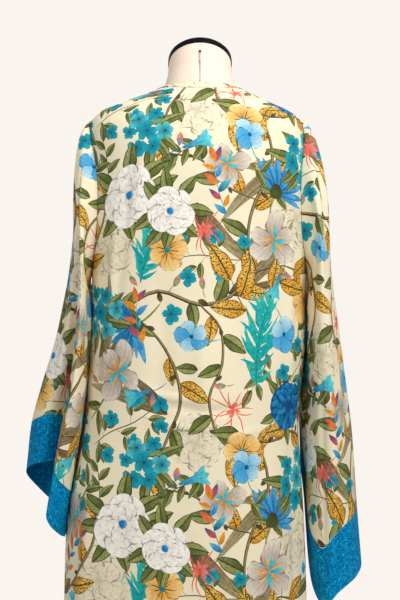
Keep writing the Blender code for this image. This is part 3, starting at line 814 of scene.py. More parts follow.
@dataclass
class Shape:
    """A flat shape of the print: its outline, its colours from foot to tip, and the style of its inside."""

    outline: np.ndarray
    near: np.ndarray
    far: np.ndarray
    foot: np.ndarray
    tip: np.ndarray
    half_width: float
    bend: float
    style: int

    def moved(self, by):
        return replace(self, outline=self.outline + by, foot=self.foot + by, tip=self.tip + by)

    def drawn_at(self, places):
        """At each place: the colour, the share along the shape, the share across it, and the style."""
        way = self.tip - self.foot
        length = np.hypot(*way)
        off = (places - self.foot) / length**2
        along = off @ way
        aside = off[..., 1] * way[0] - off[..., 0] * way[1]
        across = (aside - self.bend * along**2) * length / self.half_width
        colour = self.near + (self.far - self.near) * np.clip(along, 0.0, 1.0)[..., None]
        style = np.full(along.shape, float(self.style))
        return np.concatenate([colour, np.stack([along, across, style], axis=-1)], axis=-1)


class Pen:
    """Adds flat shapes to one list, at its own place, turn in degrees and size."""

    def __init__(self, shapes, random, at=(0.0, 0.0), turn=0.0, size=1.0):
        self.shapes = shapes
        self.random = random
        self.at = np.array(at, float)
        self.turn = turn
        self.size = size

    def on_cloth(self, points):
        """Where points of the pen's own drawing lie on the cloth."""
        across, along = math.cos(math.radians(self.turn)), math.sin(math.radians(self.turn))
        axes = np.array([[across, along], [-along, across]])
        return np.asarray(points, float) @ axes * self.size + self.at

    def moved(self, at=(0.0, 0.0), turn=0.0, size=1.0):
        """A pen for the same shapes, placed, turned and sized within this one's."""
        return Pen(self.shapes, self.random, self.on_cloth([at])[0], self.turn + turn, self.size * size)

    def polar(self, degrees, reach, turn=0.0):
        """A pen moved out by the reach in some direction, and turned that way and a little more."""
        way = math.radians(degrees)
        return self.moved((reach * math.cos(way), reach * math.sin(way)), degrees + turn)

    def all_round(self, count, askew, uneven=0.0, first=0.0):
        """Pens turned evenly all the way round, each a little askew and, if uneven, of its own size."""
        for k in range(count):
            turn = first + 360 * k / count + self.loose(askew)
            yield self.moved(turn=turn, size=1 + self.loose(uneven) if uneven else 1.0)

    def loose(self, amount):
        """A random number between minus and plus the amount."""
        return float(self.random.uniform(-amount, amount))

    def fill(self, outline, near, far=None, style=INK, length=0.01, half_width=0.005, bend=0.0):
        """Adds a shape; its length, half width and bend say where its inside's drawing runs."""
        foot, tip = self.on_cloth([(0.0, 0.0), (length, 0.0)])
        far = near if far is None else far
        wide = half_width * self.size
        self.shapes.append(Shape(self.on_cloth(outline), near, far, foot, tip, wide, bend, style))

    def petal(self, length, width, near, far, fullest, blunt, bend=0.0, ruffle=0.0, style=PETAL):
        """A petal or leaf along the x axis, from its foot at the pen's place."""
        steps = int(np.clip(length * self.size / PETAL_STEP, *PETAL_STEPS))
        u = np.linspace(0.0, 1.0, steps)
        half = width / 2 * np.abs(np.sin(math.pi * u**fullest)) ** blunt
        middle = bend * length * u * u
        first, second = self.random.uniform(0.0, 6.0, 2)
        right = middle - half * (1 + ruffle * np.sin(RUFFLES[0] * u + first))
        left = middle + half * (1 + ruffle * np.sin(RUFFLES[1] * u + second))
        outline = np.concatenate([np.stack([u * length, right], 1), np.stack([u * length, left], 1)[-2:0:-1]])
        self.fill(outline, near, far, style, length, width / 2, bend)

    def broad_petal(self, length, width, near, far, bend=0.0, ruffle=0.0, style=OUTLINED):
        self.petal(length, width, near, far, OUTLINED_FULLEST, OUTLINED_BLUNT, bend, ruffle, style)

    def line(self, points, width, colour, end_share=0.35, style=INK):
        """A line of some width, thinner towards its ends."""
        points = np.asarray(points, float)
        way = np.gradient(points, axis=0)
        way = way / np.linalg.norm(way, axis=1, keepdims=True)
        side = np.stack([-way[:, 1], way[:, 0]], axis=1)
        u = np.linspace(0.0, 1.0, len(points))
        half = width / self.size / 2 * (end_share + (1 - end_share) * np.sin(math.pi * u) ** 0.5)[:, None]
        self.fill(np.concatenate([points + side * half, (points - side * half)[::-1]]), colour, style=style)

    def blob(self, radius, corners, near, far=None):
        """A roundish spot with uneven corners."""
        turns = np.arange(corners) * 2 * math.pi / corners
        reach = radius * (1 + self.random.uniform(-0.15, 0.15, corners))
        ring = np.stack([np.cos(turns) * reach, np.sin(turns) * reach], axis=1)
        self.fill(ring, near, far, length=radius, half_width=radius)


def bow(start, pull, end, steps=6):
    """A bowed line from start to end, drawn towards the pull point."""
    u = np.linspace(0.0, 1.0, steps)[:, None]
    start, pull, end = (np.array(p, float) for p in (start, pull, end))
    return (1 - u) ** 2 * start + 2 * u * (1 - u) * pull + u**2 * end


def through(points, steps):
    """A smooth line through the points."""
    points = np.asarray(points, float)
    long = np.concatenate([2 * points[:1] - points[1:2], points, 2 * points[-1:] - points[-2:-1]])
    u = np.linspace(0.0, 1.0, steps, endpoint=False)[:, None]
    found = []
    for a, b, c, d in zip(long, long[1:], long[2:], long[3:]):
        curve = 2 * b + (c - a) * u + (2 * a - 5 * b + 4 * c - d) * u**2 + (3 * b - a - 3 * c + d) * u**3
        found.append(curve / 2)
    return np.concatenate(found + [points[-1:]])


def draw_leaf(pen, length=0.044, width=0.021):
    pen.petal(length, width, DEEP_OLIVE, OLIVE, LEAF_FULLEST, LEAF_BLUNT, pen.loose(0.22), 0.04, LEAF)


def draw_ochre_leaf(pen, length=0.050, width=0.024):
    bend = pen.loose(0.24)
    pen.petal(length, width, OCHRE, PALE_OCHRE, LEAF_FULLEST, LEAF_BLUNT, bend, 0.05, OCHRE_LEAF)


def draw_leaf_stem(pen, length=0.075):
    """A thin stem with leaves on both sides."""
    stem = bow((0, 0), (length * 0.5, pen.loose(0.018)), (length, 0), 7)
    pen.line(stem, 0.0016, DEEP_OLIVE)
    for k in range(1, 6):
        draw_leaf(pen.moved(stem[k], (46 if k % 2 else -46) + pen.loose(12)), 0.030 + pen.loose(0.005), 0.012)
    draw_leaf(pen.moved(stem[-1], pen.loose(15)), 0.034, 0.013)


def draw_ochre_stem(pen):
    """Three ochre leaves on one stem."""
    pen.line(bow((-0.02, 0), (0.01, 0.008), (0.045, 0)), 0.0018, BROWN)
    for x, turn, size in ((0.0, 52, 0.95), (0.018, -48, 1.0), (0.042, 8, 1.05)):
        draw_ochre_leaf(pen.moved((x, 0.002), turn + pen.loose(12), size))


def draw_blossom(pen, far=TEAL, radius=0.018):
    """A small blossom whose five petals overlap at its heart."""
    for arm in pen.all_round(5, 12, 0.18):
        arm.broad_petal(radius, radius * 0.78, DEEP_TEAL, far, arm.loose(0.22), 0.05)
    pen.blob(radius * 0.14, 5, DEEP_BLUE)


def draw_cluster(pen):
    """Teal blossoms that overlap, with long leaves behind them."""
    for turn, reach, length in (
        (205, 0.020, 0.056),
        (236, 0.014, 0.050),
        (262, 0.020, 0.044),
        (150, 0.020, 0.042),
        (322, 0.022, 0.050),
        (20, 0.026, 0.036),
    ):
        draw_leaf(pen.polar(turn, reach, pen.loose(14)), length, length * 0.34)
    for x, y, size in (
        (-0.030, 0.014, 0.95),
        (-0.006, 0.036, 0.85),
        (0.020, 0.026, 1.0),
        (0.038, 0.000, 0.85),
        (0.010, -0.026, 1.0),
        (-0.022, -0.014, 0.9),
        (0.002, 0.004, 1.12),
    ):
        far = TEAL if pen.random.uniform() < 0.6 else LIGHT_TEAL
        draw_blossom(pen.moved((x, y), pen.loose(40), size), far)


def draw_sprig(pen):
    """A branching stem of small blossoms and leaves."""
    stem = through([(-0.055, -0.018), (-0.02, -0.004), (0.02, 0.004), (0.056, 0.022)], 3)
    pen.line(stem, 0.0018, DEEP_OLIVE)
    for x, y, turn, reach in (
        (-0.045, -0.014, -60, 0.026),
        (-0.035, -0.009, 55, 0.030),
        (-0.012, -0.002, -48, 0.034),
        (0.012, 0.003, 62, 0.036),
        (0.032, 0.009, -36, 0.030),
    ):
        arm = pen.moved((x, y), turn + pen.loose(12))
        arm.line(bow((0, 0), (reach * 0.5, 0.004), (reach, 0), 4), 0.0013, OLIVE)
        draw_leaf(arm.moved((reach * 0.3, 0), 40), 0.026, 0.010)
        draw_leaf(arm.moved((reach * 0.5, 0), -42), 0.022, 0.009)
        draw_blossom(arm.moved((reach, 0), arm.loose(40), 0.62 + abs(arm.loose(0.14))))
    draw_blossom(pen.moved((0.06, 0.024), 20, 0.72))


# Rings of a peony's petals, the outermost first: count, reach and width in radii, and the first turn
PEONY_RINGS = [(7, 1.0, 0.92, 0), (6, 0.76, 0.74, 25), (6, 0.52, 0.52, 10), (4, 0.30, 0.34, 0)]


def draw_peony(pen, radius=0.048, near=SHADOW_WHITE, far=WHITE, style=OUTLINED):
    """A full flower in rings of broad petals, with leaves behind it unless it is only drawn."""
    heart = style == OUTLINED
    if heart:
        for turn in (15, 52, 98, 150, 196, 228, 275, 320):
            leaf = pen.polar(turn + pen.loose(8), 0.62 * radius, pen.loose(16))
            draw_leaf(leaf, radius * (1.02 + leaf.loose(0.14)), radius * 0.52)
    for count, reach, wide, first in PEONY_RINGS:
        for arm in pen.all_round(count, 12, 0.10, first):
            arm.broad_petal(radius * reach, radius * wide, near, far, arm.loose(0.2), 0.07, style)
    if heart:
        pen.blob(radius * 0.15, 7, BLUE, SKY)


def draw_rose(pen, radius=0.050):
    """A flower drawn in thin lines, with hardly any colour of its own."""
    draw_peony(pen, radius, ROSE_SHADE, GROUND, DRAWN)


def draw_pompon(pen, radius=0.038):
    """A round flower of many short petals in rings."""
    for turn in (20, 140, 200, 265):
        draw_leaf(pen.polar(turn, radius * 0.7, pen.loose(15)), radius * 0.95, radius * 0.42)
    pen.blob(radius * 0.96, 18, DEEP_BLUE)
    for reach, count in ((0.80, 19), (0.66, 16), (0.50, 13), (0.34, 9), (0.17, 6)):
        for k in range(count):
            arm = pen.polar(360 * (k + 0.5 * pen.random.uniform()) / count, radius * reach * 0.86)
            far = BRIGHT_BLUE if k % 2 else BLUE
            arm.broad_petal(radius * 0.30, radius * 0.25, DEEP_BLUE, far)


def draw_mauve(pen, radius=0.046):
    """A broad grey-mauve flower with coloured streaks and a leafy stem."""
    stem = bow(*(radius * np.array([(0.0, -0.2), (0.12, -1.0), (-0.1, -1.9)])))
    pen.line(stem, 0.004, OLIVE)
    draw_leaf(pen.moved((0.02 * radius, -1.2 * radius), -130), 0.040, 0.014)
    draw_leaf(pen.moved((0.02 * radius, -1.4 * radius), -40), 0.038, 0.014)
    for turn, reach, wide in (
        (-65, 1.0, 0.8),
        (-150, 0.98, 0.78),
        (90, 1.0, 0.74),
        (20, 0.84, 0.58),
        (160, 0.84, 0.6),
    ):
        arm = pen.moved(turn=turn + pen.loose(10))
        length, width, bend = radius * reach, radius * wide, arm.loose(0.26)
        arm.petal(length, width, MAUVE, PALE_MAUVE, 1.35, 0.55, bend, 0.09, OUTLINED)
        arm.petal(radius * 0.5, radius * 0.10, ORANGE, PALE_OCHRE, 0.8, 0.9, arm.loose(0.3))
    for turn in (-20, -110, 55):
        arm = pen.moved(turn=turn)
        arm.petal(radius * 0.46, radius * 0.18, TEAL, LIGHT_TEAL, 1.2, 0.7, 0.3)


def draw_hibiscus(pen, radius=0.036):
    """An ochre flower of five broad petals with dark lines at its heart."""
    for arm in pen.all_round(5, 8, 0.12):
        arm.broad_petal(radius, radius, OCHRE, CREAM_OCHRE, arm.loose(0.16), 0.09)
    for arm in pen.all_round(10, 10):
        arm.petal((0.42 + 0.25 * arm.random.uniform()) * radius, radius * 0.05, DEEP_BROWN, BROWN, 0.9, 0.9)
    pen.blob(radius * 0.15, 6, DEEP_TEAL, TURQUOISE)


def draw_sky_flower(pen, radius=0.030):
    """A light blue flower of round petals on a bent stem."""
    pen.line(bow((0, 0), (-0.3 * radius, -0.8 * radius), (0.1 * radius, -1.6 * radius)), 0.002, TEAL)
    for turn, reach in ((30, 0.9), (100, 1.0), (170, 0.85), (235, 0.95), (305, 0.85)):
        arm = pen.moved(turn=turn + pen.loose(10))
        near, far = (BRIGHT_BLUE, SKY) if arm.random.uniform() < 0.4 else (SKY, PALE_SKY)
        arm.broad_petal(radius * reach, radius * 0.86, near, far, arm.loose(0.2), 0.08)
    pen.blob(radius * 0.13, 6, DEEP_BLUE, TEAL)


def draw_fan_flower(pen, radius=0.058):
    """A half flower seen from its side: a fan of long blue petals over a dark olive cup."""
    pen.line(bow((0, 0), (-0.35 * radius, 0.05 * radius), (-0.9 * radius, -0.25 * radius)), 0.0034, OLIVE)
    for turn in (-100, -62, 64, 104):
        draw_leaf(pen.moved((-0.02 * radius, 0), turn + pen.loose(8)), radius * 0.62, radius * 0.26)
    for k in range(17):
        arm = pen.moved((0, 0), -84 + 10.5 * k + pen.loose(5), 1 + pen.loose(0.16))
        near, far = (DEEP_BLUE, BRIGHT_BLUE) if k % 2 else (BLUE, SKY)
        arm.petal(radius, radius * 0.17, near, far, 1.1, 0.7, arm.loose(0.12), 0.05)
    pen.blob(radius * 0.24, 9, DEEP_OLIVE, DEEP_BROWN)


def draw_plume(pen, length=0.115):
    """A ragged teal plume: barbs in uneven pairs along a bowed spine."""
    spine = bow((0, 0), (length * 0.5, length * 0.12), (length, 0), 17)
    for k in range(1, 16):
        share = k / 16
        reach = length * (0.12 + 0.26 * math.sin(math.pi * share) ** 0.8)
        for way in (-1, 1):
            arm = pen.moved(spine[k], way * (60 - 26 * share + pen.loose(14)), 1 + pen.loose(0.3))
            tone = BRIGHT_TURQUOISE if arm.random.uniform() < 0.5 else TEAL
            arm.petal(reach, 0.0062, TURQUOISE, tone, 0.7, 0.9, arm.loose(0.4) - way * 0.15, 0.15)
    for turn in (-22, -6, 10, 24):
        pen.moved(spine[-1], turn).petal(length * 0.22, 0.005, TURQUOISE, LIGHT_TEAL, 0.7, 1.0)
    pen.line(spine[::2], 0.010, TURQUOISE, 0.2)
    pen.line(spine[::2], 0.0014, DEEP_TEAL)


def draw_spider_flower(pen, radius=0.038):
    """A coral flower of thin curling threads."""
    for arm in pen.all_round(12, 12, 0.25):
        curl = arm.loose(0.4) * radius
        arm.line(bow((0.05 * radius, 0), (0.55 * radius, curl), (radius, -0.4 * curl), 5), 0.0019, CORAL, 0.3)
    for k in range(7):
        arm = pen.moved(turn=51 * k + pen.loose(20))
        arm.petal(radius * 0.42, radius * 0.16, CORAL, PALE_CORAL, 1.0, 0.9, arm.loose(0.4))


def draw_spray(pen, length=0.088):
    """A stem of slim buds in orange, coral and blue."""
    stem = bow((0, 0), (length * 0.5, length * 0.14), (length, 0), 9)
    pen.line(stem[::2], 0.0016, TEAL)
    tones = ((ORANGE, CORAL), (BLUE, SKY), (OCHRE, ORANGE), (CORAL, DEEP_BLUE), (DEEP_BLUE, LIGHT_TEAL))
    for k in range(1, 9):
        near, far = tones[k % len(tones)]
        arm = pen.moved(stem[k], (38 if k % 2 else -38) + pen.loose(12), 1 + pen.loose(0.2))
        arm.petal(0.024, 0.0090, near, far, 0.8, 0.9, arm.loose(0.2))
    pen.moved(stem[-1]).petal(0.026, 0.0100, OCHRE, CORAL, 0.9, 0.9)


def draw_bud(pen):
    """One slim two-coloured bud on a short stem."""
    pen.line(bow((-0.016, 0), (-0.006, 0.003), (0.002, 0), 4), 0.0014, OLIVE)
    pen.petal(0.024, 0.011, BLUE, ORANGE, 0.9, 0.8, pen.loose(0.2))
    pen.petal(0.014, 0.008, OLIVE, PALE_OLIVE, 0.9, 0.8, pen.loose(0.2))


def draw_blade(pen, length=0.17, width=0.028):
    """A long khaki blade of a leaf."""
    pen.petal(length, width, BROWN, PALE_KHAKI, 0.75, 0.8, 0.30 + pen.loose(0.08), 0.03, BLADE)
    pen.moved(turn=-24).petal(length * 0.62, width * 0.6, DEEP_BROWN, KHAKI, 0.75, 0.8, 0.2, 0.03, BLADE)


def draw_trumpet(pen, length=0.040):
    """A pale teal trumpet with a small orange and blue bud beside it."""
    tube = [(0, -0.0018), (0.55, -0.12), (0.82, -0.28), (1.0, -0.36), (0.93, -0.12)]
    tube += [(1.06, 0.0), (0.94, 0.12), (1.0, 0.34), (0.8, 0.26), (0.55, 0.12), (0, 0.0018)]
    outline = [(x * length, y * length if abs(y) > 0.01 else y) for x, y in tube]
    pen.fill(outline, BLUE, LIGHT_TEAL, PETAL, length, length * 0.36)
    pen.line(bow((0, 0), (-0.3 * length, 0.1 * length), (-0.7 * length, -0.1 * length), 4), 0.0014, DEEP_BLUE)
    pen.moved((-0.1 * length, 0.1 * length), 62).petal(0.020, 0.009, BLUE, ORANGE, 1.2, 0.8)


def draw_vine(pen, width, points):
    """A vine with a light side, knots, and leaves and buds that spring from it on either side."""
    line = through(points, 4)
    lengths = np.concatenate([[0.0], np.cumsum(np.linalg.norm(np.diff(line, axis=0), axis=1))])
    for number, place in enumerate(np.arange(SPROUT_STEP / 2, lengths[-1], SPROUT_STEP)):
        k = int(np.searchsorted(lengths, place))
        way = math.degrees(math.atan2(*(line[k] - line[k - 1])[::-1]))
        turn = way + (48 if number % 2 else -48) + pen.loose(16)
        sprout = pen.moved(line[k], turn, 0.9 + abs(pen.loose(0.3)))
        chance = pen.random.uniform()
        if chance < OCHRE_CHANCE:
            draw_ochre_leaf(sprout)
        elif chance < LEAF_CHANCE:
            draw_leaf(sprout)
        elif chance < BUD_CHANCE:
            draw_bud(sprout.moved((0.014, 0)))
    pen.line(line, width, DEEP_BROWN, 0.45)
    pen.line(line + np.array([0.1, 0.16]) * width, width * 0.55, KHAKI, 0.4)
    for place in np.arange(KNOT_STEP / 2, lengths[-1], KNOT_STEP):
        knot = line[int(np.searchsorted(lengths, place))]
        pen.moved(knot, pen.loose(180)).petal(width * 3.0, width * 1.5, DEEP_BROWN, BROWN, 1.2, 0.7)


# Vines: width in metres, then points that each runs through
VINES = [
    (
        0.0062,
        [(0.02, 0.30), (0.09, 0.285), (0.17, 0.32), (0.25, 0.295), (0.31, 0.31), (0.36, 0.36), (0.42, 0.375)],
    ),
    (0.0052, [(0.10, 0.285), (0.16, 0.24), (0.20, 0.18), (0.215, 0.11), (0.19, 0.04), (0.16, -0.04)]),
    (0.0046, [(0.25, 0.295), (0.29, 0.25), (0.295, 0.18), (0.27, 0.12), (0.285, 0.05), (0.33, 0.0)]),
    (0.0050, [(0.42, 0.375), (0.49, 0.36), (0.55, 0.40), (0.60, 0.47), (0.61, 0.54)]),
    (0.0056, [(0.36, 0.36), (0.34, 0.43), (0.355, 0.50), (0.39, 0.56), (0.38, 0.64), (0.33, 0.69)]),
    (0.0040, [(0.355, 0.50), (0.30, 0.52), (0.25, 0.57), (0.19, 0.585)]),
    (0.0048, [(0.33, 0.05), (0.39, 0.03), (0.46, 0.045), (0.52, 0.02), (0.57, 0.03)]),
    (0.0038, [(0.46, 0.045), (0.50, 0.10), (0.505, 0.17), (0.47, 0.23), (0.48, 0.28)]),
]

# The large motifs of one repeat: name, x, y, turn, size; later rows lie on top, and two kinds under
# the vines
UNDER_VINES = ("rose", "blade")
LAYOUT = [
    ("rose", 0.455, 0.475, 0, 1.10),
    ("rose", 0.525, 0.215, 70, 1.05),
    ("rose", 0.055, 0.405, 140, 1.05),
    ("rose", 0.245, 0.030, 20, 0.95),
    ("blade", 0.305, 0.315, 28, 1.0),
    ("blade", 0.19, 0.085, 150, 0.95),
    ("blade", 0.43, 0.570, 200, 0.9),
    ("blade", 0.03, 0.165, 62, 0.95),
    ("blade", 0.24, 0.49, 300, 0.85),
    ("fan_flower", 0.125, 0.255, 205, 1.0),
    ("fan_flower", 0.400, 0.520, 60, 0.95),
    ("sprig", 0.455, 0.155, 28, 1.15),
    ("sprig", 0.10, 0.060, 10, 1.15),
    ("sprig", 0.275, 0.385, 160, 1.15),
    ("sprig", 0.53, 0.595, 75, 1.1),
    ("leaf_stem", 0.385, 0.215, 250, 1.0),
    ("leaf_stem", 0.055, 0.53, 95, 1.1),
    ("leaf_stem", 0.27, 0.60, 200, 1.0),
    ("plume", 0.365, 0.135, 82, 1.15),
    ("plume", 0.135, 0.335, 72, 1.0),
    ("blade", 0.545, 0.065, 250, 0.8),
    ("ochre_stem", 0.515, 0.085, 200, 1.2),
    ("mauve", 0.395, 0.425, 10, 1.1),
    ("mauve", 0.085, 0.165, -35, 1.15),
    ("mauve", 0.545, 0.515, 150, 1.0),
    ("mauve", 0.30, 0.565, 80, 0.85),
    ("hibiscus", 0.495, 0.300, 20, 1.1),
    ("hibiscus", 0.185, 0.400, 60, 0.95),
    ("hibiscus", 0.335, 0.015, 110, 0.9),
    ("sky_flower", 0.345, 0.625, 15, 1.0),
    ("sky_flower", 0.235, 0.235, 80, 1.0),
    ("sky_flower", 0.425, 0.235, 200, 1.05),
    ("spider_flower", 0.255, 0.435, 0, 1.0),
    ("spider_flower", 0.315, 0.095, 40, 0.95),
    ("cluster", 0.035, 0.275, 15, 1.05),
    ("cluster", 0.475, 0.590, -20, 1.1),
    ("ochre_stem", 0.345, 0.285, 120, 1.3),
    ("ochre_stem", 0.395, 0.320, 30, 1.2),
    ("cluster", 0.150, -0.010, 70, 0.95),
    ("pompon", 0.445, 0.095, 0, 1.05),
    ("spray", 0.305, 0.455, 105, 1.1),
    ("spray", 0.505, 0.385, 60, 1.1),
    ("spray", 0.010, 0.050, 120, 1.1),
    ("spray", 0.145, 0.195, 100, 1.0),
    ("trumpet", 0.155, 0.130, 200, 1.1),
    ("trumpet", 0.415, 0.355, 250, 1.1),
    ("trumpet", 0.215, 0.595, 20, 1.2),
    ("trumpet", 0.555, 0.325, 110, 1.1),
    ("peony", 0.105, 0.515, 0, 1.05),
    ("peony", 0.190, 0.475, 40, 0.85),
]

# Smaller motifs for the room that is left: name, size, and the radius that it takes
FILLERS = [
    ("ochre_stem", 1.0, 0.030),
    ("spray", 0.62, 0.026),
    ("cluster", 0.60, 0.034),
    ("leaf_stem", 0.72, 0.030),
    ("sky_flower", 0.8, 0.024),
    ("ochre_leaf", 1.0, 0.020),
    ("blossom", 1.0, 0.016),
    ("leaf", 0.85, 0.015),
    ("bud", 0.9, 0.012),
]
FILLER_TRIES = 260

# Motifs whose foot stands back from their place, by a share of their radius
LONG_FILLERS = ("leaf", "ochre_leaf", "leaf_stem")
FOOT_SHARE = 0.8

MOTIFS = {
    drawn.__name__.removeprefix("draw_"): drawn
    for drawn in (
        draw_rose,
        draw_blade,
        draw_ochre_leaf,
        draw_ochre_stem,
        draw_leaf,
        draw_leaf_stem,
        draw_blossom,
        draw_sprig,
        draw_plume,
        draw_fan_flower,
        draw_mauve,
        draw_hibiscus,
        draw_sky_flower,
        draw_spider_flower,
        draw_cluster,
        draw_pompon,
        draw_spray,
        draw_bud,
        draw_trumpet,
        draw_peony,
    )
}


def wind_counts(outline, points):
    """How often a closed outline runs round each point."""
    start, end = outline, np.roll(outline, -1, axis=0)
    x, y = points[:, :1], points[:, 1:]
    side = (end[:, 0] - start[:, 0]) * (y - start[:, 1]) - (x - start[:, 0]) * (end[:, 1] - start[:, 1])
    rises = (start[:, 1] <= y) & (end[:, 1] > y) & (side > 0)
    falls = (start[:, 1] > y) & (end[:, 1] <= y) & (side < 0)
    return rises.sum(axis=1) - falls.sum(axis=1)


def mark_covered(covered, outline):
    """Marks the cells of one repeat that a shape covers, round its sides too."""
    low = np.floor(outline.min(axis=0) / CELL).astype(int)
    high = np.ceil(outline.max(axis=0) / CELL).astype(int)
    columns, rows = np.meshgrid(np.arange(low[0], high[0] + 1), np.arange(low[1], high[1] + 1))
    cells = np.stack([columns.ravel(), rows.ravel()], axis=1)
    hit = cells[wind_counts(outline, (cells + 0.5) * CELL) != 0]
    covered[hit[:, 1] % covered.shape[0], hit[:, 0] % covered.shape[1]] = True


def is_free(covered, place, radius):
    """Whether no shape covers the ground within a radius of a place."""
    reach = np.arange(-math.ceil(radius / CELL), math.ceil(radius / CELL) + 1)
    columns, rows = np.meshgrid(reach, reach)
    within = columns**2 + rows**2 <= (radius / CELL) ** 2
    columns = (columns[within] + int(place[0] / CELL)) % covered.shape[1]
    rows = (rows[within] + int(place[1] / CELL)) % covered.shape[0]
    return not covered[rows, columns].any()


def fill_in(pen):
    """Smaller motifs thrown into the room between the others, the large ones first."""
    columns, rows = np.round(REPEAT / CELL).astype(int)
    covered = np.zeros((rows, columns), bool)
    done = 0
    for name, size, radius in FILLERS:
        for place in pen.random.uniform(0.0, 1.0, (FILLER_TRIES, 2)) * REPEAT:
            for shape in pen.shapes[done:]:
                mark_covered(covered, shape.outline)
            done = len(pen.shapes)
            if is_free(covered, place, radius):
                turn = pen.loose(180)
                back = radius * FOOT_SHARE if name in LONG_FILLERS else 0.0
                way = math.radians(turn)
                foot = place - back * np.array([math.cos(way), math.sin(way)])
                MOTIFS[name](pen.moved(foot, turn, size))


def draw_repeat():
    """The shapes of one repeat of the print, in metres, the later ones on top."""
    pen = Pen([], np.random.default_rng(SEED))

    def lay_out(under):
        for name, x, y, turn, size in LAYOUT:
            if (name in UNDER_VINES) == under:
                MOTIFS[name](pen.moved((x * CLOSENESS, y * CLOSENESS), turn, size))

    lay_out(True)
    for width, points in VINES:
        draw_vine(pen, width, [(x * CLOSENESS, y * CLOSENESS) for x, y in points])
    lay_out(False)
    fill_in(pen)
    return pen.shapes


# Points that are tested against an outline at once
BLOCK = 3000

# What delaunay_2d_cdt is asked for: all triangles, also those outside the outlines
ALL_TRIANGLES = 0


def inside(outline, points):
    """Which points lie inside a closed outline, worked out in blocks to spare memory."""
    blocks = np.array_split(points, max(1, len(points) // BLOCK))
    return np.concatenate([wind_counts(outline, block) != 0 for block in blocks])


def rim_of(grid):
    """The nodes round a grid, anticlockwise from its first."""
    return np.concatenate([grid[0, :-1], grid[:-1, -1], grid[-1, :0:-1], grid[:0:-1, 0]])


def repeats_over(shapes, low, high, shift):
    """Copies of the print's shapes that may touch a stretch of cloth, in their order."""
    for shape in shapes:
        least, most = shape.outline.min(axis=0) + shift, shape.outline.max(axis=0) + shift
        first = np.floor((low - most) / REPEAT).astype(int)
        last = np.ceil((high - least) / REPEAT).astype(int)
        for a in range(first[0], last[0] + 1):
            for b in range(first[1], last[1] + 1):
                move = np.array([a, b]) * REPEAT
                if np.all(most + move > low) and np.all(least + move < high):
                    yield shape.moved(move + shift)


def ground_points(low, high, step):
    """Even points in rows over a stretch of cloth."""
    x = np.arange(low[0], high[0], step)
    y = np.arange(low[1], high[1], step * GROUND_ROW_SHARE)
    across, up = np.meshgrid(x, y)
    across[::2] += step / 2
    return np.stack([across.ravel(), up.ravel()], axis=1)


def cut_along(rim, outlines, step):
    """The cloth's flat pattern in triangles, cut along every line of the print."""
    low, high = rim.min(axis=0), rim.max(axis=0)
    even = ground_points(low, high, step)
    even = even[inside(rim, even)]
    loops = [rim] + outlines
    firsts = np.cumsum([0] + [len(loop) for loop in loops[:-1]])
    edges = []
    for first, loop in zip(firsts.tolist(), loops):
        edges += [(first + k, first + (k + 1) % len(loop)) for k in range(len(loop))]
    corners = [Vector(p) for p in np.concatenate(loops + [even]).tolist()]
    points, _, faces, *_ = delaunay_2d_cdt(corners, edges, [], ALL_TRIANGLES, WELD, False)
    points = np.array([tuple(p) for p in points])
    faces = np.array(faces)
    faces = faces[inside(rim, points[faces].mean(axis=1))]
    a, b, c = (points[faces[:, k]] for k in range(3))
    turn = (b[:, 0] - a[:, 0]) * (c[:, 1] - a[:, 1]) - (b[:, 1] - a[:, 1]) * (c[:, 0] - a[:, 0])
    faces[turn < 0] = faces[turn < 0][:, ::-1]
    used, faces = np.unique(faces, return_inverse=True)
    return points[used], faces.reshape(-1, 3)


def ink_at(shapes, spots, corners):
    """What the topmost shape at each spot draws at the spot's corners: colour, place in the shape, style."""
    found = np.zeros(corners.shape[:2] + (INK_CHANNELS,))
    found[..., :3] = GROUND
    order = np.argsort(spots[:, 0])
    sorted_x = spots[order, 0]
    for shape in shapes:
        low, high = shape.outline.min(axis=0), shape.outline.max(axis=0)
        near_by = order[np.searchsorted(sorted_x, low[0]) : np.searchsorted(sorted_x, high[0])]
        height = spots[near_by, 1]
        near_by = near_by[(height > low[1]) & (height < high[1])]
        if len(near_by) > 0:
            hit = near_by[wind_counts(shape.outline, spots[near_by]) != 0]
            found[hit] = shape.drawn_at(corners[hit])
    return found


def find_on_grid(flat, points):
    """Row and column of flat points on a surface's grid, by Newton's steps from the nearest node."""
    rows, columns = flat.shape[:2]
    tree = KDTree(rows * columns)
    for number, (x, y) in enumerate(flat.reshape(-1, 2).tolist()):
        tree.insert((x, y, 0.0), number)
    tree.balance()
    nearest = np.array([tree.find((x, y, 0.0))[1] for x, y in points.tolist()])
    row = (nearest // columns).astype(float)
    column = (nearest % columns).astype(float)
    for _ in range(NEWTON_ROUNDS):
        here, by_row, by_column = on_grid(flat, row, column)
        miss = points - here
        size = by_row[:, 0] * by_column[:, 1] - by_row[:, 1] * by_column[:, 0]
        row_step = (miss[:, 0] * by_column[:, 1] - miss[:, 1] * by_column[:, 0]) / size
        column_step = (by_row[:, 0] * miss[:, 1] - by_row[:, 1] * miss[:, 0]) / size
        row = np.clip(row + np.clip(row_step, -MOST_STEP, MOST_STEP), 0, rows - 1)
        column = np.clip(column + np.clip(column_step, -MOST_STEP, MOST_STEP), 0, columns - 1)
    return row, column


def on_grid(grid, row, column):
    """A grid's value between its nodes, and how it changes with row and column."""
    r = np.clip(row.astype(int), 0, grid.shape[0] - 2)
    c = np.clip(column.astype(int), 0, grid.shape[1] - 2)
    u, v = (row - r)[:, None], (column - c)[:, None]
    a, b, d, e = grid[r, c], grid[r, c + 1], grid[r + 1, c], grid[r + 1, c + 1]
    low, high = a + (b - a) * v, d + (e - d) * v
    return low + (high - low) * u, high - low, (b - a) * (1 - u) + (e - d) * u


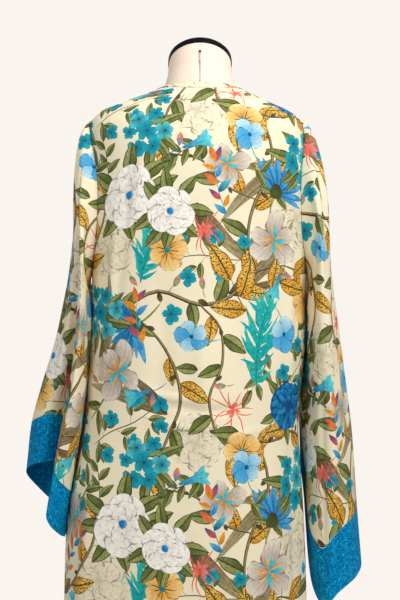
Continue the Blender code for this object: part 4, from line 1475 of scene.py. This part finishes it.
def rim_order(points, faces, rim):
    """The corners along the pattern's rim and how far round each is, from 0 at the rim's first node."""
    sides = np.concatenate([faces[:, [0, 1]], faces[:, [1, 2]], faces[:, [2, 0]]])
    _, first, count = np.unique(np.sort(sides, axis=1), axis=0, return_index=True, return_counts=True)
    corners = np.unique(sides[first[count == 1]])
    start, end = rim, np.roll(rim, -1, axis=0)
    way = end - start
    length = np.linalg.norm(way, axis=1)
    offset = points[corners][:, None] - start
    share = np.clip((offset * way).sum(axis=2) / length**2, 0.0, 1.0)
    away = np.linalg.norm(offset - share[..., None] * way, axis=2)
    nearest = away.argmin(axis=1)
    place = (nearest + share[np.arange(len(corners)), nearest]) % len(rim)
    order = np.argsort(place)
    return corners[order], place[order]


def zipped(outer, outer_at, inner):
    """Triangles between two closed loops; the inner one has a corner at each whole number."""
    triangles = []
    i = j = 0
    while i < len(outer) or j < len(inner):
        next_outer = outer_at[i + 1] if i + 1 < len(outer) else len(inner)
        if i < len(outer) and (j >= len(inner) or next_outer <= j + 1):
            triangles.append((outer[(i + 1) % len(outer)], outer[i], inner[j % len(inner)]))
            i += 1
        else:
            triangles.append((outer[i % len(outer)], inner[j], inner[(j + 1) % len(inner)]))
            j += 1
    return np.array(triangles)


def placed(name, data):
    """A new object in the scene."""
    made = bpy.data.objects.new(name, data)
    bpy.context.scene.collection.objects.link(made)
    return made


def new_mesh(name, points, faces, material):
    """A smooth mesh of one material."""
    mesh = bpy.data.meshes.new(name)
    mesh.from_pydata(points.tolist(), [], faces.tolist())
    mesh.shade_smooth()
    mesh.materials.append(material)
    return mesh


def add_cloth(name, points, faces, normals, ink, flat, sides, material):
    """A piece of cloth; flat and sides give each point its place on the cloth and on the bake map."""
    mesh = new_mesh(name, points, faces, material)
    mesh.normals_split_custom_set_from_vertices(normals.tolist())
    if ink is not None:
        colours = np.concatenate([ink[:, :3], np.ones((len(ink), 1))], axis=1).astype(np.float32)
        mesh.color_attributes.new("print", "FLOAT_COLOR", "CORNER").data.foreach_set("color", colours.ravel())
        drawing = ink[:, 3:].astype(np.float32)
        mesh.attributes.new("drawing", "FLOAT_VECTOR", "CORNER").data.foreach_set("vector", drawing.ravel())
    corners = flat[faces.ravel()]
    spread = (corners - flat.min(axis=0)) / np.ptp(flat, axis=0) * np.array(BAKE_SIZE) + BAKE_EDGE
    spread[:, 0] += BAKE_HALF * sides[faces.ravel()]
    for layer, places in (("cloth", corners), ("OFBake", spread)):
        mesh.uv_layers.new(name=layer).data.foreach_set("uv", places.astype(np.float32).ravel())
    mesh.uv_layers.active = mesh.uv_layers["cloth"]
    return placed(name, mesh)


def grid_faces(rows, columns):
    """Four-sided faces of a grid of numbered corners, facing out."""
    index = np.arange(rows * columns).reshape(rows, columns)
    return np.stack([index[:-1, :-1], index[:-1, 1:], index[1:, 1:], index[1:, :-1]], axis=-1).reshape(-1, 4)


def declare(piece, surface, node):
    """Attaches the piece of cloth to the root and hides the solid that it stands for; the sizes that it works
    out are not used.
    """
    across = np.ptp(surface.flat[..., 0])
    along = np.ptp(surface.flat[..., 1])
    up, right = np.diff(surface.place, axis=0)[:, :-1], np.diff(surface.place, axis=1)[:-1]
    cells = np.linalg.norm(np.cross(up, right), axis=-1)
    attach(piece, "root")
    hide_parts(node)


def bend_room(surface):
    """How far a straight line over two cells may stand off the surface near each place."""
    place, outward = surface.place, surface.outward
    room = np.zeros(place.shape[:2])
    up = (place[2:] + place[:-2]) / 2 - place[1:-1]
    across = (place[:, 2:] + place[:, :-2]) / 2 - place[:, 1:-1]
    room[1:-1] = np.abs((up * outward[1:-1]).sum(axis=-1))
    room[:, 1:-1] = np.maximum(room[:, 1:-1], np.abs((across * outward[:, 1:-1]).sum(axis=-1)))
    rows, columns = room.shape
    for _ in range(INNER_STEP):
        padded = np.pad(room, 1, mode="edge")
        room = np.max([padded[i : i + rows, j : j + columns] for i in range(3) for j in range(3)], axis=0)
    return np.minimum(room, MOST_BEND_ROOM)


def add_printed(name, surface, shapes, shift, material, step=PRINT_STEP, inner_step=INNER_STEP):
    """A piece of printed cloth: its outer side is inlaid with the print, its inner side shows it pale.

    shift is where the print's first repeat starts on it. Where the cloth bends sharply the inner side
    lies deeper, so that no triangle of one side cuts the other.
    """
    inner_flat = surface.flat[::inner_step, ::inner_step]
    rim = rim_of(inner_flat)
    low, high = rim.min(axis=0), rim.max(axis=0)
    copies = list(repeats_over(shapes, low, high, np.array(shift)))
    points, faces = cut_along(rim, [shape.outline for shape in copies], step)
    row, column = find_on_grid(surface.flat, points)
    outer, outer_normals = (on_grid(grid, row, column)[0] for grid in (surface.place, surface.outward))
    corners = points[faces]
    outer_ink = ink_at(copies, corners.mean(axis=1), corners).reshape(-1, INK_CHANNELS)

    depth = SHELL + bend_room(surface) * BEND_SPARE * (step / NODE_STEP / 2) ** 2
    inner_place = (surface.place - surface.outward * depth[..., None])[::inner_step, ::inner_step]
    rows, columns = inner_flat.shape[:2]
    quads = grid_faces(rows, columns)
    triangles = np.concatenate([quads[:, [0, 2, 1]], quads[:, [0, 3, 2]]])
    spots = inner_flat.reshape(-1, 2)
    spot_ink = ink_at(copies, spots, spots[:, None])[:, 0]
    spot_ink[:, :3] += (GROUND - spot_ink[:, :3]) * WRONG_SIDE_PALENESS
    spot_ink[:, 3:] = 0.0

    count = len(points)
    rim_index = rim_of(np.arange(rows * columns).reshape(rows, columns)) + count
    loop, loop_at = rim_order(points, faces, rim)
    bridge = zipped(loop, loop_at, rim_index)
    # The strip round the rim between the two sides: the ground's colour darkened, as painted shade
    bridge_ink = np.tile(np.append(GROUND * EDGE_SHADE, np.zeros(3)), (bridge.size, 1))
    inner_normals = -surface.outward[::inner_step, ::inner_step].reshape(-1, 3)
    return add_cloth(
        name,
        np.concatenate([outer, inner_place.reshape(-1, 3)]),
        np.concatenate([faces, triangles + count, bridge]),
        np.concatenate([outer_normals, inner_normals]),
        np.concatenate([outer_ink, spot_ink[triangles.ravel()], bridge_ink]),
        np.concatenate([points, spots]),
        np.concatenate([np.zeros(count), np.ones(len(spots))]),
        material,
    )


def add_plain(name, surface, material):
    """A piece of cloth of one colour, which its material gives."""
    rows, columns = surface.place.shape[:2]
    outer = grid_faces(rows, columns)
    count = rows * columns
    rim = rim_of(np.arange(count).reshape(rows, columns))
    ahead = np.roll(rim, -1)
    bridge = np.stack([ahead, rim, rim + count, ahead + count], axis=1)
    grids = (surface.place, surface.outward, surface.flat)
    place, outward, flat = (grid.reshape(count, -1) for grid in grids)
    return add_cloth(
        name,
        np.concatenate([place, place - outward * SHELL]),
        np.concatenate([outer, outer[:, ::-1] + count, bridge]),
        np.concatenate([outward, -outward]),
        None,
        np.concatenate([flat, flat]),
        np.repeat([0.0, 1.0], count),
        material,
    )


# Where most values of a noise lie
NOISE_LOW = 0.3
NOISE_HIGH = 0.7

# How slim a thread's noise is, as a share of its length
THREAD_SHARE = 0.03


class Finish:
    """A material under construction: its node tree, its main shader and short ways to add nodes."""

    def __init__(self, name, roughness, sheen=0.0, metallic=0.0, specular=0.5):
        self.material = bpy.data.materials.new(name)
        self.material.use_nodes = True
        self.tree = self.material.node_tree
        self.shader = self.tree.nodes["Principled BSDF"]
        self.set("Roughness", roughness)
        self.set("Sheen Weight", sheen)
        self.set("Metallic", metallic)
        self.set("Specular IOR Level", specular)

    def set(self, name, value):
        """Gives one of the main shader's inputs a value or a socket."""
        self.put(self.shader.inputs[name], value)

    def done(self, colour, height, strength, distance, roughness=None):
        """The finished material, with its colour, its relief and perhaps an uneven roughness."""
        bump = self.add("Bump", Height=height, Strength=strength, Distance=distance)
        self.set("Base Color", colour)
        self.set("Normal", bump.outputs["Normal"])
        if roughness is not None:
            self.set("Roughness", roughness)
        return self.material

    def add(self, kind, **inputs):
        node = self.tree.nodes.new("ShaderNode" + kind)
        for name, value in inputs.items():
            self.put(node.inputs[name.replace("_", " ")], value)
        return node

    def put(self, socket, value):
        if isinstance(value, bpy.types.NodeSocket):
            self.tree.links.new(value, socket)
        else:
            socket.default_value = value

    def cloth_places(self):
        node = self.tree.nodes.new("ShaderNodeUVMap")
        node.uv_map = "cloth"
        return node.outputs["UV"]

    def places(self):
        return self.tree.nodes.new("ShaderNodeTexCoord").outputs["Object"]

    def moved_by(self, vector, other):
        node = self.add("VectorMath")
        self.put(node.inputs[0], vector)
        self.put(node.inputs[1], other)
        return node.outputs["Vector"]

    def stretched(self, vector, scale):
        return self.add("Mapping", Vector=vector, Scale=scale).outputs["Vector"]

    def noise(self, vector, scale, detail=2.0, distortion=0.0):
        node = self.add("TexNoise", Vector=vector, Scale=scale, Detail=detail, Distortion=distortion)
        return node.outputs["Fac"]

    def between(self, value, low, high, to_low=0.0, to_high=1.0):
        inputs = {"From_Min": low, "From_Max": high, "To_Min": to_low, "To_Max": to_high}
        return self.add("MapRange", Value=value, **inputs).outputs["Result"]

    def spread(self, noise, to_low, to_high):
        """A noise's usual values laid out over a range."""
        return self.between(noise, NOISE_LOW, NOISE_HIGH, to_low, to_high)

    def maths(self, how, first, second=0.0, third=0.0):
        node = self.add("Math")
        node.operation = how
        for socket, value in zip(node.inputs, (first, second, third)):
            self.put(socket, value)
        return node.outputs["Value"]

    def times(self, first, second):
        return self.maths("MULTIPLY", first, second)

    def greater(self, first, second):
        return self.maths("MAXIMUM", first, second)

    def equals(self, value, number):
        """1 where the value is the number, within a quarter, and 0 elsewhere."""
        return self.maths("COMPARE", value, float(number), 0.25)

    def attribute(self, name):
        node = self.add("Attribute")
        node.attribute_name = name
        return node

    def mixed(self, share, first, second, how="MIX"):
        node = self.add("Mix")
        node.data_type = "RGBA"
        node.blend_type = how
        self.put(node.inputs["Factor"], share)
        self.put(node.inputs["A"], first)
        self.put(node.inputs["B"], second)
        return node.outputs["Result"]

    def shaded(self, colour, value):
        """The colour times a grey value."""
        grey = self.add("CombineColor", Red=value, Green=value, Blue=value)
        return self.mixed(1.0, colour, grey.outputs["Color"], "MULTIPLY")

    def weave(self, places, threads):
        """Threads both ways with uneven thickness, from 0 to about 1."""
        across = self.noise(self.stretched(places, (threads, threads * THREAD_SHARE, 1.0)), 1.0)
        along = self.noise(self.stretched(places, (threads * THREAD_SHARE, threads, 1.0)), 1.0)
        return self.times(self.maths("ADD", across, along), 0.5)


def four(colour):
    """A colour with full cover, as nodes want it."""
    return (*colour, 1.0)


def rim_share(made, along, aside, fullest, blunt):
    """How near a place in a petal or leaf is to its outline across, 1 on the outline."""
    bulge = made.maths("SINE", made.times(made.maths("POWER", along, fullest), math.pi))
    return made.maths("DIVIDE", aside, made.maths("POWER", made.greater(bulge, 0.01), blunt))


def printed_finish():
    """Printed cloth: the inlaid colours, the drawing inside each shape, and an uneven weave."""
    made = Finish("printed_cloth", 0.62, specular=0.18)
    places = made.cloth_places()
    colour = made.attribute("print").outputs["Color"]
    drawing = made.attribute("drawing").outputs["Vector"]
    along, across, style = made.add("SeparateXYZ", Vector=drawing).outputs
    aside = made.maths("ABSOLUTE", across)
    is_leaf, is_petal, is_outlined, is_drawn, is_ochre, is_blade = (
        made.equals(style, number) for number in (LEAF, PETAL, OUTLINED, DRAWN, OCHRE_LEAF, BLADE)
    )
    is_ink = made.between(style, 0.4, 0.6)
    own = made.stretched(drawing, (2.2, 6.0, 0.0))
    streaks = made.noise(made.moved_by(own, made.stretched(places, (18.0, 18.0, 0.0))), 1.0, 3.0)
    brush = made.noise(places, 170.0, 3.0, 0.7)

    # leaves: a light half, a midrib, slanting veins and a dark rim
    light_half = made.between(across, -0.05, 0.25, 0.0, 0.55)
    colour = made.mixed(made.times(light_half, is_leaf), colour, four(PALE_OLIVE))
    rib = made.between(aside, 0.04, 0.12, 1.0, 0.0)
    slant = made.maths("FRACT", made.times(made.maths("MULTIPLY_ADD", aside, -0.45, along), 6.0))
    veins = made.between(slant, 0.08, 0.20, 0.6, 0.0)
    lines = made.times(made.greater(rib, veins), is_leaf)
    colour = made.mixed(lines, colour, four(DEEP_OLIVE * 0.55))
    leaf_rim = made.between(rim_share(made, along, aside, LEAF_FULLEST, LEAF_BLUNT), 0.78, 0.92)
    colour = made.mixed(made.times(leaf_rim, is_leaf), colour, four(DEEP_OLIVE * 0.4))

    # ochre leaves: brown rims, a midrib and dark speckles
    rim = made.times(made.times(leaf_rim, 0.75), is_ochre)
    colour = made.mixed(rim, colour, four(RIM_BROWN))
    specks = made.between(made.noise(places, 400.0, 1.0), 0.53, 0.58)
    specks = made.times(made.greater(specks, rib), is_ochre)
    colour = made.mixed(specks, colour, four(DEEP_OLIVE * 0.7))

    # petals: fine lines that fan out from the foot, and thin rims on the broad ones
    fan = made.maths("DIVIDE", across, made.maths("ADD", along, 0.35))
    fan = made.maths("SINE", made.maths("MULTIPLY_ADD", fan, 15.0, made.times(streaks, 7.0)))
    fan = made.times(made.between(fan, 0.45, 0.95), made.between(along, 0.1, 1.0, 0.75, 0.12))
    is_broad = made.greater(is_outlined, is_drawn)
    fan = made.times(fan, made.greater(is_petal, is_broad))
    rim = made.between(rim_share(made, along, aside, OUTLINED_FULLEST, OUTLINED_BLUNT), 0.86, 0.94)
    rim = made.times(made.greater(rim, made.between(along, 0.95, 0.98)), is_broad)
    lines = made.greater(made.times(rim, 0.85), made.times(fan, 0.6))
    colour = made.mixed(lines, colour, made.shaded(colour, 0.30))

    # blades: long uneven streaks
    streak_tone = made.between(streaks, 0.36, 0.64, 0.45, 1.35)
    colour = made.mixed(is_blade, colour, made.shaded(colour, streak_tone))

    # brushed ink on plain ground, softer in outlined petals, and the weave over all
    painted = made.shaded(colour, made.between(brush, 0.32, 0.68, 0.74, 1.18))
    softly = made.shaded(colour, made.between(brush, 0.32, 0.68, 0.88, 1.06))
    plainly = made.shaded(colour, made.spread(brush, 0.985, 1.01))
    painted = made.mixed(is_outlined, painted, softly)
    colour = made.mixed(made.maths("SUBTRACT", is_ink, is_drawn), plainly, painted)
    weave = made.weave(places, 1500.0)
    colour = made.shaded(colour, made.spread(weave, 0.95, 1.04))
    return made.done(colour, weave, 0.35, 0.00025, made.spread(weave, 0.55, 0.72))


def blue_finish():
    """Mottled blue cloth of the cuff bands."""
    made = Finish("blue_cloth", 0.7, specular=0.06)
    places = made.cloth_places()
    fleck = made.noise(places, 300.0, 3.0, 1.6)
    cloud = made.noise(places, 70.0, 3.0, 0.6)
    deep = made.mixed(made.between(fleck, 0.43, 0.57), four(CUFF_DEEP_BLUE), four(CUFF_BLUE))
    light = made.between(made.maths("MULTIPLY_ADD", cloud, 0.4, fleck), 0.74, 0.84)
    colour = made.mixed(light, deep, four(CUFF_LIGHT_BLUE))
    weave = made.weave(places, 1300.0)
    colour = made.shaded(colour, made.spread(weave, 0.86, 1.12))
    return made.done(colour, weave, 0.4, 0.0003, made.spread(fleck, 0.58, 0.74))


def linen_finish():
    """The dress form's fine pale cover."""
    made = Finish("form_linen", 0.85, sheen=0.1, specular=0.2)
    places = made.places()
    weave = made.weave(places, 1100.0)
    cloud = made.noise(places, 14.0, 3.0)
    colour = made.mixed(cloud, four(LINEN), four(DEEP_LINEN))
    colour = made.shaded(colour, made.spread(weave, 0.975, 1.01))
    return made.done(colour, weave, 0.4, 0.0004)


def painted_finish(name, colour, low, high, metallic, specular=0.5):
    """Dark satin paint or plastic, slightly uneven and worn."""
    made = Finish(name, low, metallic=metallic, specular=specular)
    places = made.places()
    wear = made.noise(places, 38.0, 5.0, 0.4)
    grain = made.noise(places, 900.0)
    colour = made.mixed(wear, four(colour * 0.8), four(colour * 1.4))
    return made.done(colour, grain, 0.12, 0.0001, made.spread(wear, low, high))


def thread_finish(name, colour):
    """Sewing thread, twisted along its length."""
    made = Finish(name, 0.6, sheen=0.2)
    twist = made.noise(made.places(), 2600.0, 1.0)
    return made.done(made.shaded(four(colour), made.spread(twist, 0.75, 1.1)), twist, 0.4, 0.0001)


def add_detail(name, data):
    """A stitch row or line that goes with the object's one body."""
    made = placed(name, data)
    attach(made, "root")
    return made


# The eight faces of one stitch, whose corners are one end, four round its middle, and the other end
STITCH_FACES = [(0, 1, 2), (0, 2, 3), (0, 3, 4), (0, 4, 1), (5, 2, 1), (5, 3, 2), (5, 4, 3), (5, 1, 4)]


def add_stitches(name, surface, line, material):
    """Small stitches lying on the cloth along one row or column of its grid."""
    places, outward = surface.place[line], surface.outward[line]
    lengths = run_lengths(places[:, None], 0)[:, 0]
    middles = np.arange(STITCH_PITCH, lengths[-1] - STITCH_PITCH, STITCH_PITCH)

    def along(values, distances):
        return np.stack([np.interp(distances, lengths, values[:, k]) for k in range(3)], axis=1)

    at = along(places, middles)
    way = unit(along(places, middles + SMALL) - at)
    out = unit(along(outward, middles))
    ahead = way * (STITCH_PITCH * STITCH_HALF_SHARE)
    side, up = np.cross(out, way) * STITCH_WIDTH, out * STITCH_HEIGHT
    corners = [at + ahead, at + side, at + up, at - side, at - up, at - ahead]
    points = np.stack(corners, axis=1).reshape(-1, 3)
    faces = np.arange(len(at))[:, None, None] * len(corners) + np.array(STITCH_FACES)
    return add_detail(name, new_mesh(name, points, faces.reshape(-1, 3), material))


def add_line(name, places, radius, material):
    """A thin round line through the places, as a curve."""
    curve = bpy.data.curves.new(name, "CURVE")
    curve.dimensions = "3D"
    curve.bevel_depth = radius
    curve.bevel_resolution = 2
    curve.use_fill_caps = True
    spline = curve.splines.new("POLY")
    spline.points.add(len(places) - 1)
    spline.points.foreach_set("co", np.concatenate([places, np.ones((len(places), 1))], axis=1).ravel())
    curve.materials.append(material)
    return add_detail(name, curve)


def form_place(z, angle):
    """A point on the dress form's cover; near the neck's top its sections tilt."""
    x, y = section(FORM_ROWS, z, angle)
    tilt = NECK_TILT * ramp((z - NECK_Z) / (NECK_TOP_Z - NECK_Z))
    return np.stack([x, y, z + tilt * y], axis=-1)


def add_form_details(linen_thread, metal, pale_metal):
    """The form's seams, and the small slider and tab at the top of its back seam."""
    heights = np.linspace(SEAM_START_Z, SEAM_END_Z, 90)
    below_slider = np.unique(np.minimum(heights, SLIDER_Z - TAB_LENGTH))
    for name, z, angle in (("back", below_slider, math.pi / 2), ("front", heights, -math.pi / 2)):
        seam = form_place(z, np.full(len(z), angle))
        seam[:, 1] += SEAM_LIFT * math.sin(angle)
        add_line("form_seam_" + name, seam, SEAM_RADIUS, linen_thread)
    heights = np.linspace(SEAM_START_Z, SHOULDER_TIP_Z, 70)
    bend = PRINCESS_BOW * np.sin(np.linspace(0.0, math.pi, len(heights)))
    for side in (-1, 1):
        seam = form_place(heights, -math.pi / 2 + side * (PRINCESS_ANGLE - bend))
        add_line(f"form_princess_seam_{side + 2}", seam, PRINCESS_RADIUS, linen_thread)
    # each with its two heights, how far it stands off the cover, and its radius
    for name, low, high, off, radius, material in (
        ("form_slider", SLIDER_Z, SLIDER_Z + SLIDER_LENGTH, 0.0012, 0.0018, metal),
        ("form_slider_tab", SLIDER_Z - TAB_LENGTH, SLIDER_Z - TAB_GAP, 0.0018, 0.0011, pale_metal),
    ):
        places = form_place(np.array([low, high]), np.full(2, math.pi / 2))
        add_line(name, places + np.array([0, off, 0]), radius, material)


def add_light(name, place, aim, size, power, colour):
    light = bpy.data.lights.new(name, "AREA")
    light.size = size
    light.energy = power
    light.color = colour
    made = placed(name, light)
    made.location = place
    made.rotation_euler = (Vector(aim) - Vector(place)).to_track_quat("-Z", "Y").to_euler()


def add_surroundings():
    """Soft pale light from all round, behind which the camera sees a plain pale wall."""
    world = bpy.data.worlds.new("pale_surroundings")
    world.use_nodes = True
    nodes, links = world.node_tree.nodes, world.node_tree.links
    soft = nodes["Background"]
    soft.inputs["Color"].default_value = SURROUND_COLOUR
    soft.inputs["Strength"].default_value = SURROUND_STRENGTH
    seen = nodes.new("ShaderNodeBackground")
    seen.inputs["Color"].default_value = four(WALL)
    mix = nodes.new("ShaderNodeMixShader")
    links.new(nodes.new("ShaderNodeLightPath").outputs["Is Camera Ray"], mix.inputs["Fac"])
    links.new(soft.outputs["Background"], mix.inputs[1])
    links.new(seen.outputs["Background"], mix.inputs[2])
    links.new(mix.outputs["Shader"], nodes["World Output"].inputs["Surface"])
    bpy.context.scene.world = world


def add_studio():
    """A pale floor, the lights, the surroundings and the camera."""
    bpy.ops.mesh.primitive_circle_add(
        vertices=96, radius=FLOOR_RADIUS, fill_type="NGON", location=(0, 0, FLOOR_Z)
    )
    floor = bpy.context.active_object
    floor.name = "floor"
    paint = Finish("floor_paint", 0.9)
    grain = paint.noise(paint.places(), 30.0, 4.0)
    paint.set("Base Color", paint.mixed(grain, four(DEEP_FLOOR), four(LIGHT_FLOOR)))
    floor.data.materials.append(paint.material)
    for light in LIGHTS:
        add_light(*light)
    add_surroundings()
    bpy.context.scene.view_settings.view_transform = "Standard"
    camera = placed("camera", bpy.data.cameras.new("camera"))
    camera.data.lens = LENS
    camera.data.sensor_width = SENSOR
    camera.location = (0, CAMERA_DISTANCE, CAMERA_Z)
    camera.rotation_euler = (math.pi / 2, 0, math.pi)
    bpy.context.scene.camera = camera


def repaint(node, material):
    """Gives a solid that stays in view its detailed material."""
    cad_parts[node].material_slots[0].material = material


def dress_body(shapes, printed, thread):
    """The back and both fronts, each with the stitches of its hem."""
    back = body_surface(back_side, lambda z: math.pi - back_side(z), 0.5)
    right = body_surface(lambda z: math.pi + front_side(z), lambda z: math.pi + front_edge_angle(z), 1.0)
    left = body_surface(lambda z: math.tau - front_edge_angle(z), lambda z: math.tau - front_side(z), 0.0)
    for name, node, surface, shift in (
        ("robe_back", "back_panel", back, (0.275, 0.10)),
        ("robe_front_right", "front_right", right, (0.10, 0.30)),
        ("robe_front_left", "front_left", left, (0.47, 0.52)),
    ):
        piece = add_printed(name, surface, shapes, shift, printed)
        stitches = add_stitches(name + "_hem_stitches", surface, HEM_STITCHES, thread)
        declare(piece, surface, node)


def dress_arm(side, word, shift, shapes, finishes, threads):
    """A sleeve and its cuff, with their own two finishes and threads; the sleeve's mesh is the finer."""
    cuff_seam = 1 - 1 / (len(LEFT_STATIONS) - 1)
    surface = sleeve_surface(side, 0.0, cuff_seam - CUFF_GAP)
    surface.lay_flat()
    piece = add_printed(
        "robe_sleeve_" + word, surface, shapes, shift, finishes[0], step=FINE_PRINT_STEP, inner_step=1
    )
    stitches = add_stitches(f"robe_sleeve_{word}_stitches", surface, SLEEVE_STITCHES, threads[0])
    declare(piece, surface, "sleeve_" + word)
    surface = sleeve_surface(side, cuff_seam + CUFF_GAP, 1.0)
    piece = add_plain("robe_cuff_" + word, surface, finishes[1])
    stitches = add_stitches(f"robe_cuff_{word}_stitches", surface, CUFF_STITCHES, threads[1])
    declare(piece, surface, "cuff_band_" + word)


def dress():
    """Adds every piece of cloth, its stitches and the form's details."""
    shapes = draw_repeat()
    printed, blue, linen = printed_finish(), blue_finish(), linen_finish()
    threads = thread_finish("cream_thread", CREAM_THREAD), thread_finish("blue_thread", BLUE_THREAD)
    linen_thread = thread_finish("linen_thread", LINEN_THREAD)
    metal = painted_finish("stand_metal", STAND_BLACK, 0.32, 0.5, 0.6)
    pale_metal = painted_finish("pale_metal", PALE_METAL, 0.3, 0.4, 0.9)

    dress_body(shapes, printed, threads[0])
    for side, word, shift in ((1, "left", (0.34, 0.27)), (-1, "right", (0.12, 0.22))):
        dress_arm(side, word, shift, shapes, (printed, blue), threads)
    band = band_surface()
    piece = add_printed("robe_neckband", band, shapes, (0.0, 0.2), printed)
    stitches = add_stitches("robe_neckband_stitches", band, BAND_STITCHES, threads[0])
    declare(piece, band, "neckband")

    repaint("form_torso", linen)
    repaint("neck_cap", painted_finish("cap_black", CAP_BLACK, 0.42, 0.55, 0.0, 0.08))
    repaint("stand_pole", metal)
    repaint("stand_base", metal)
    add_form_details(linen_thread, metal, pale_metal)


add_studio()
dress()
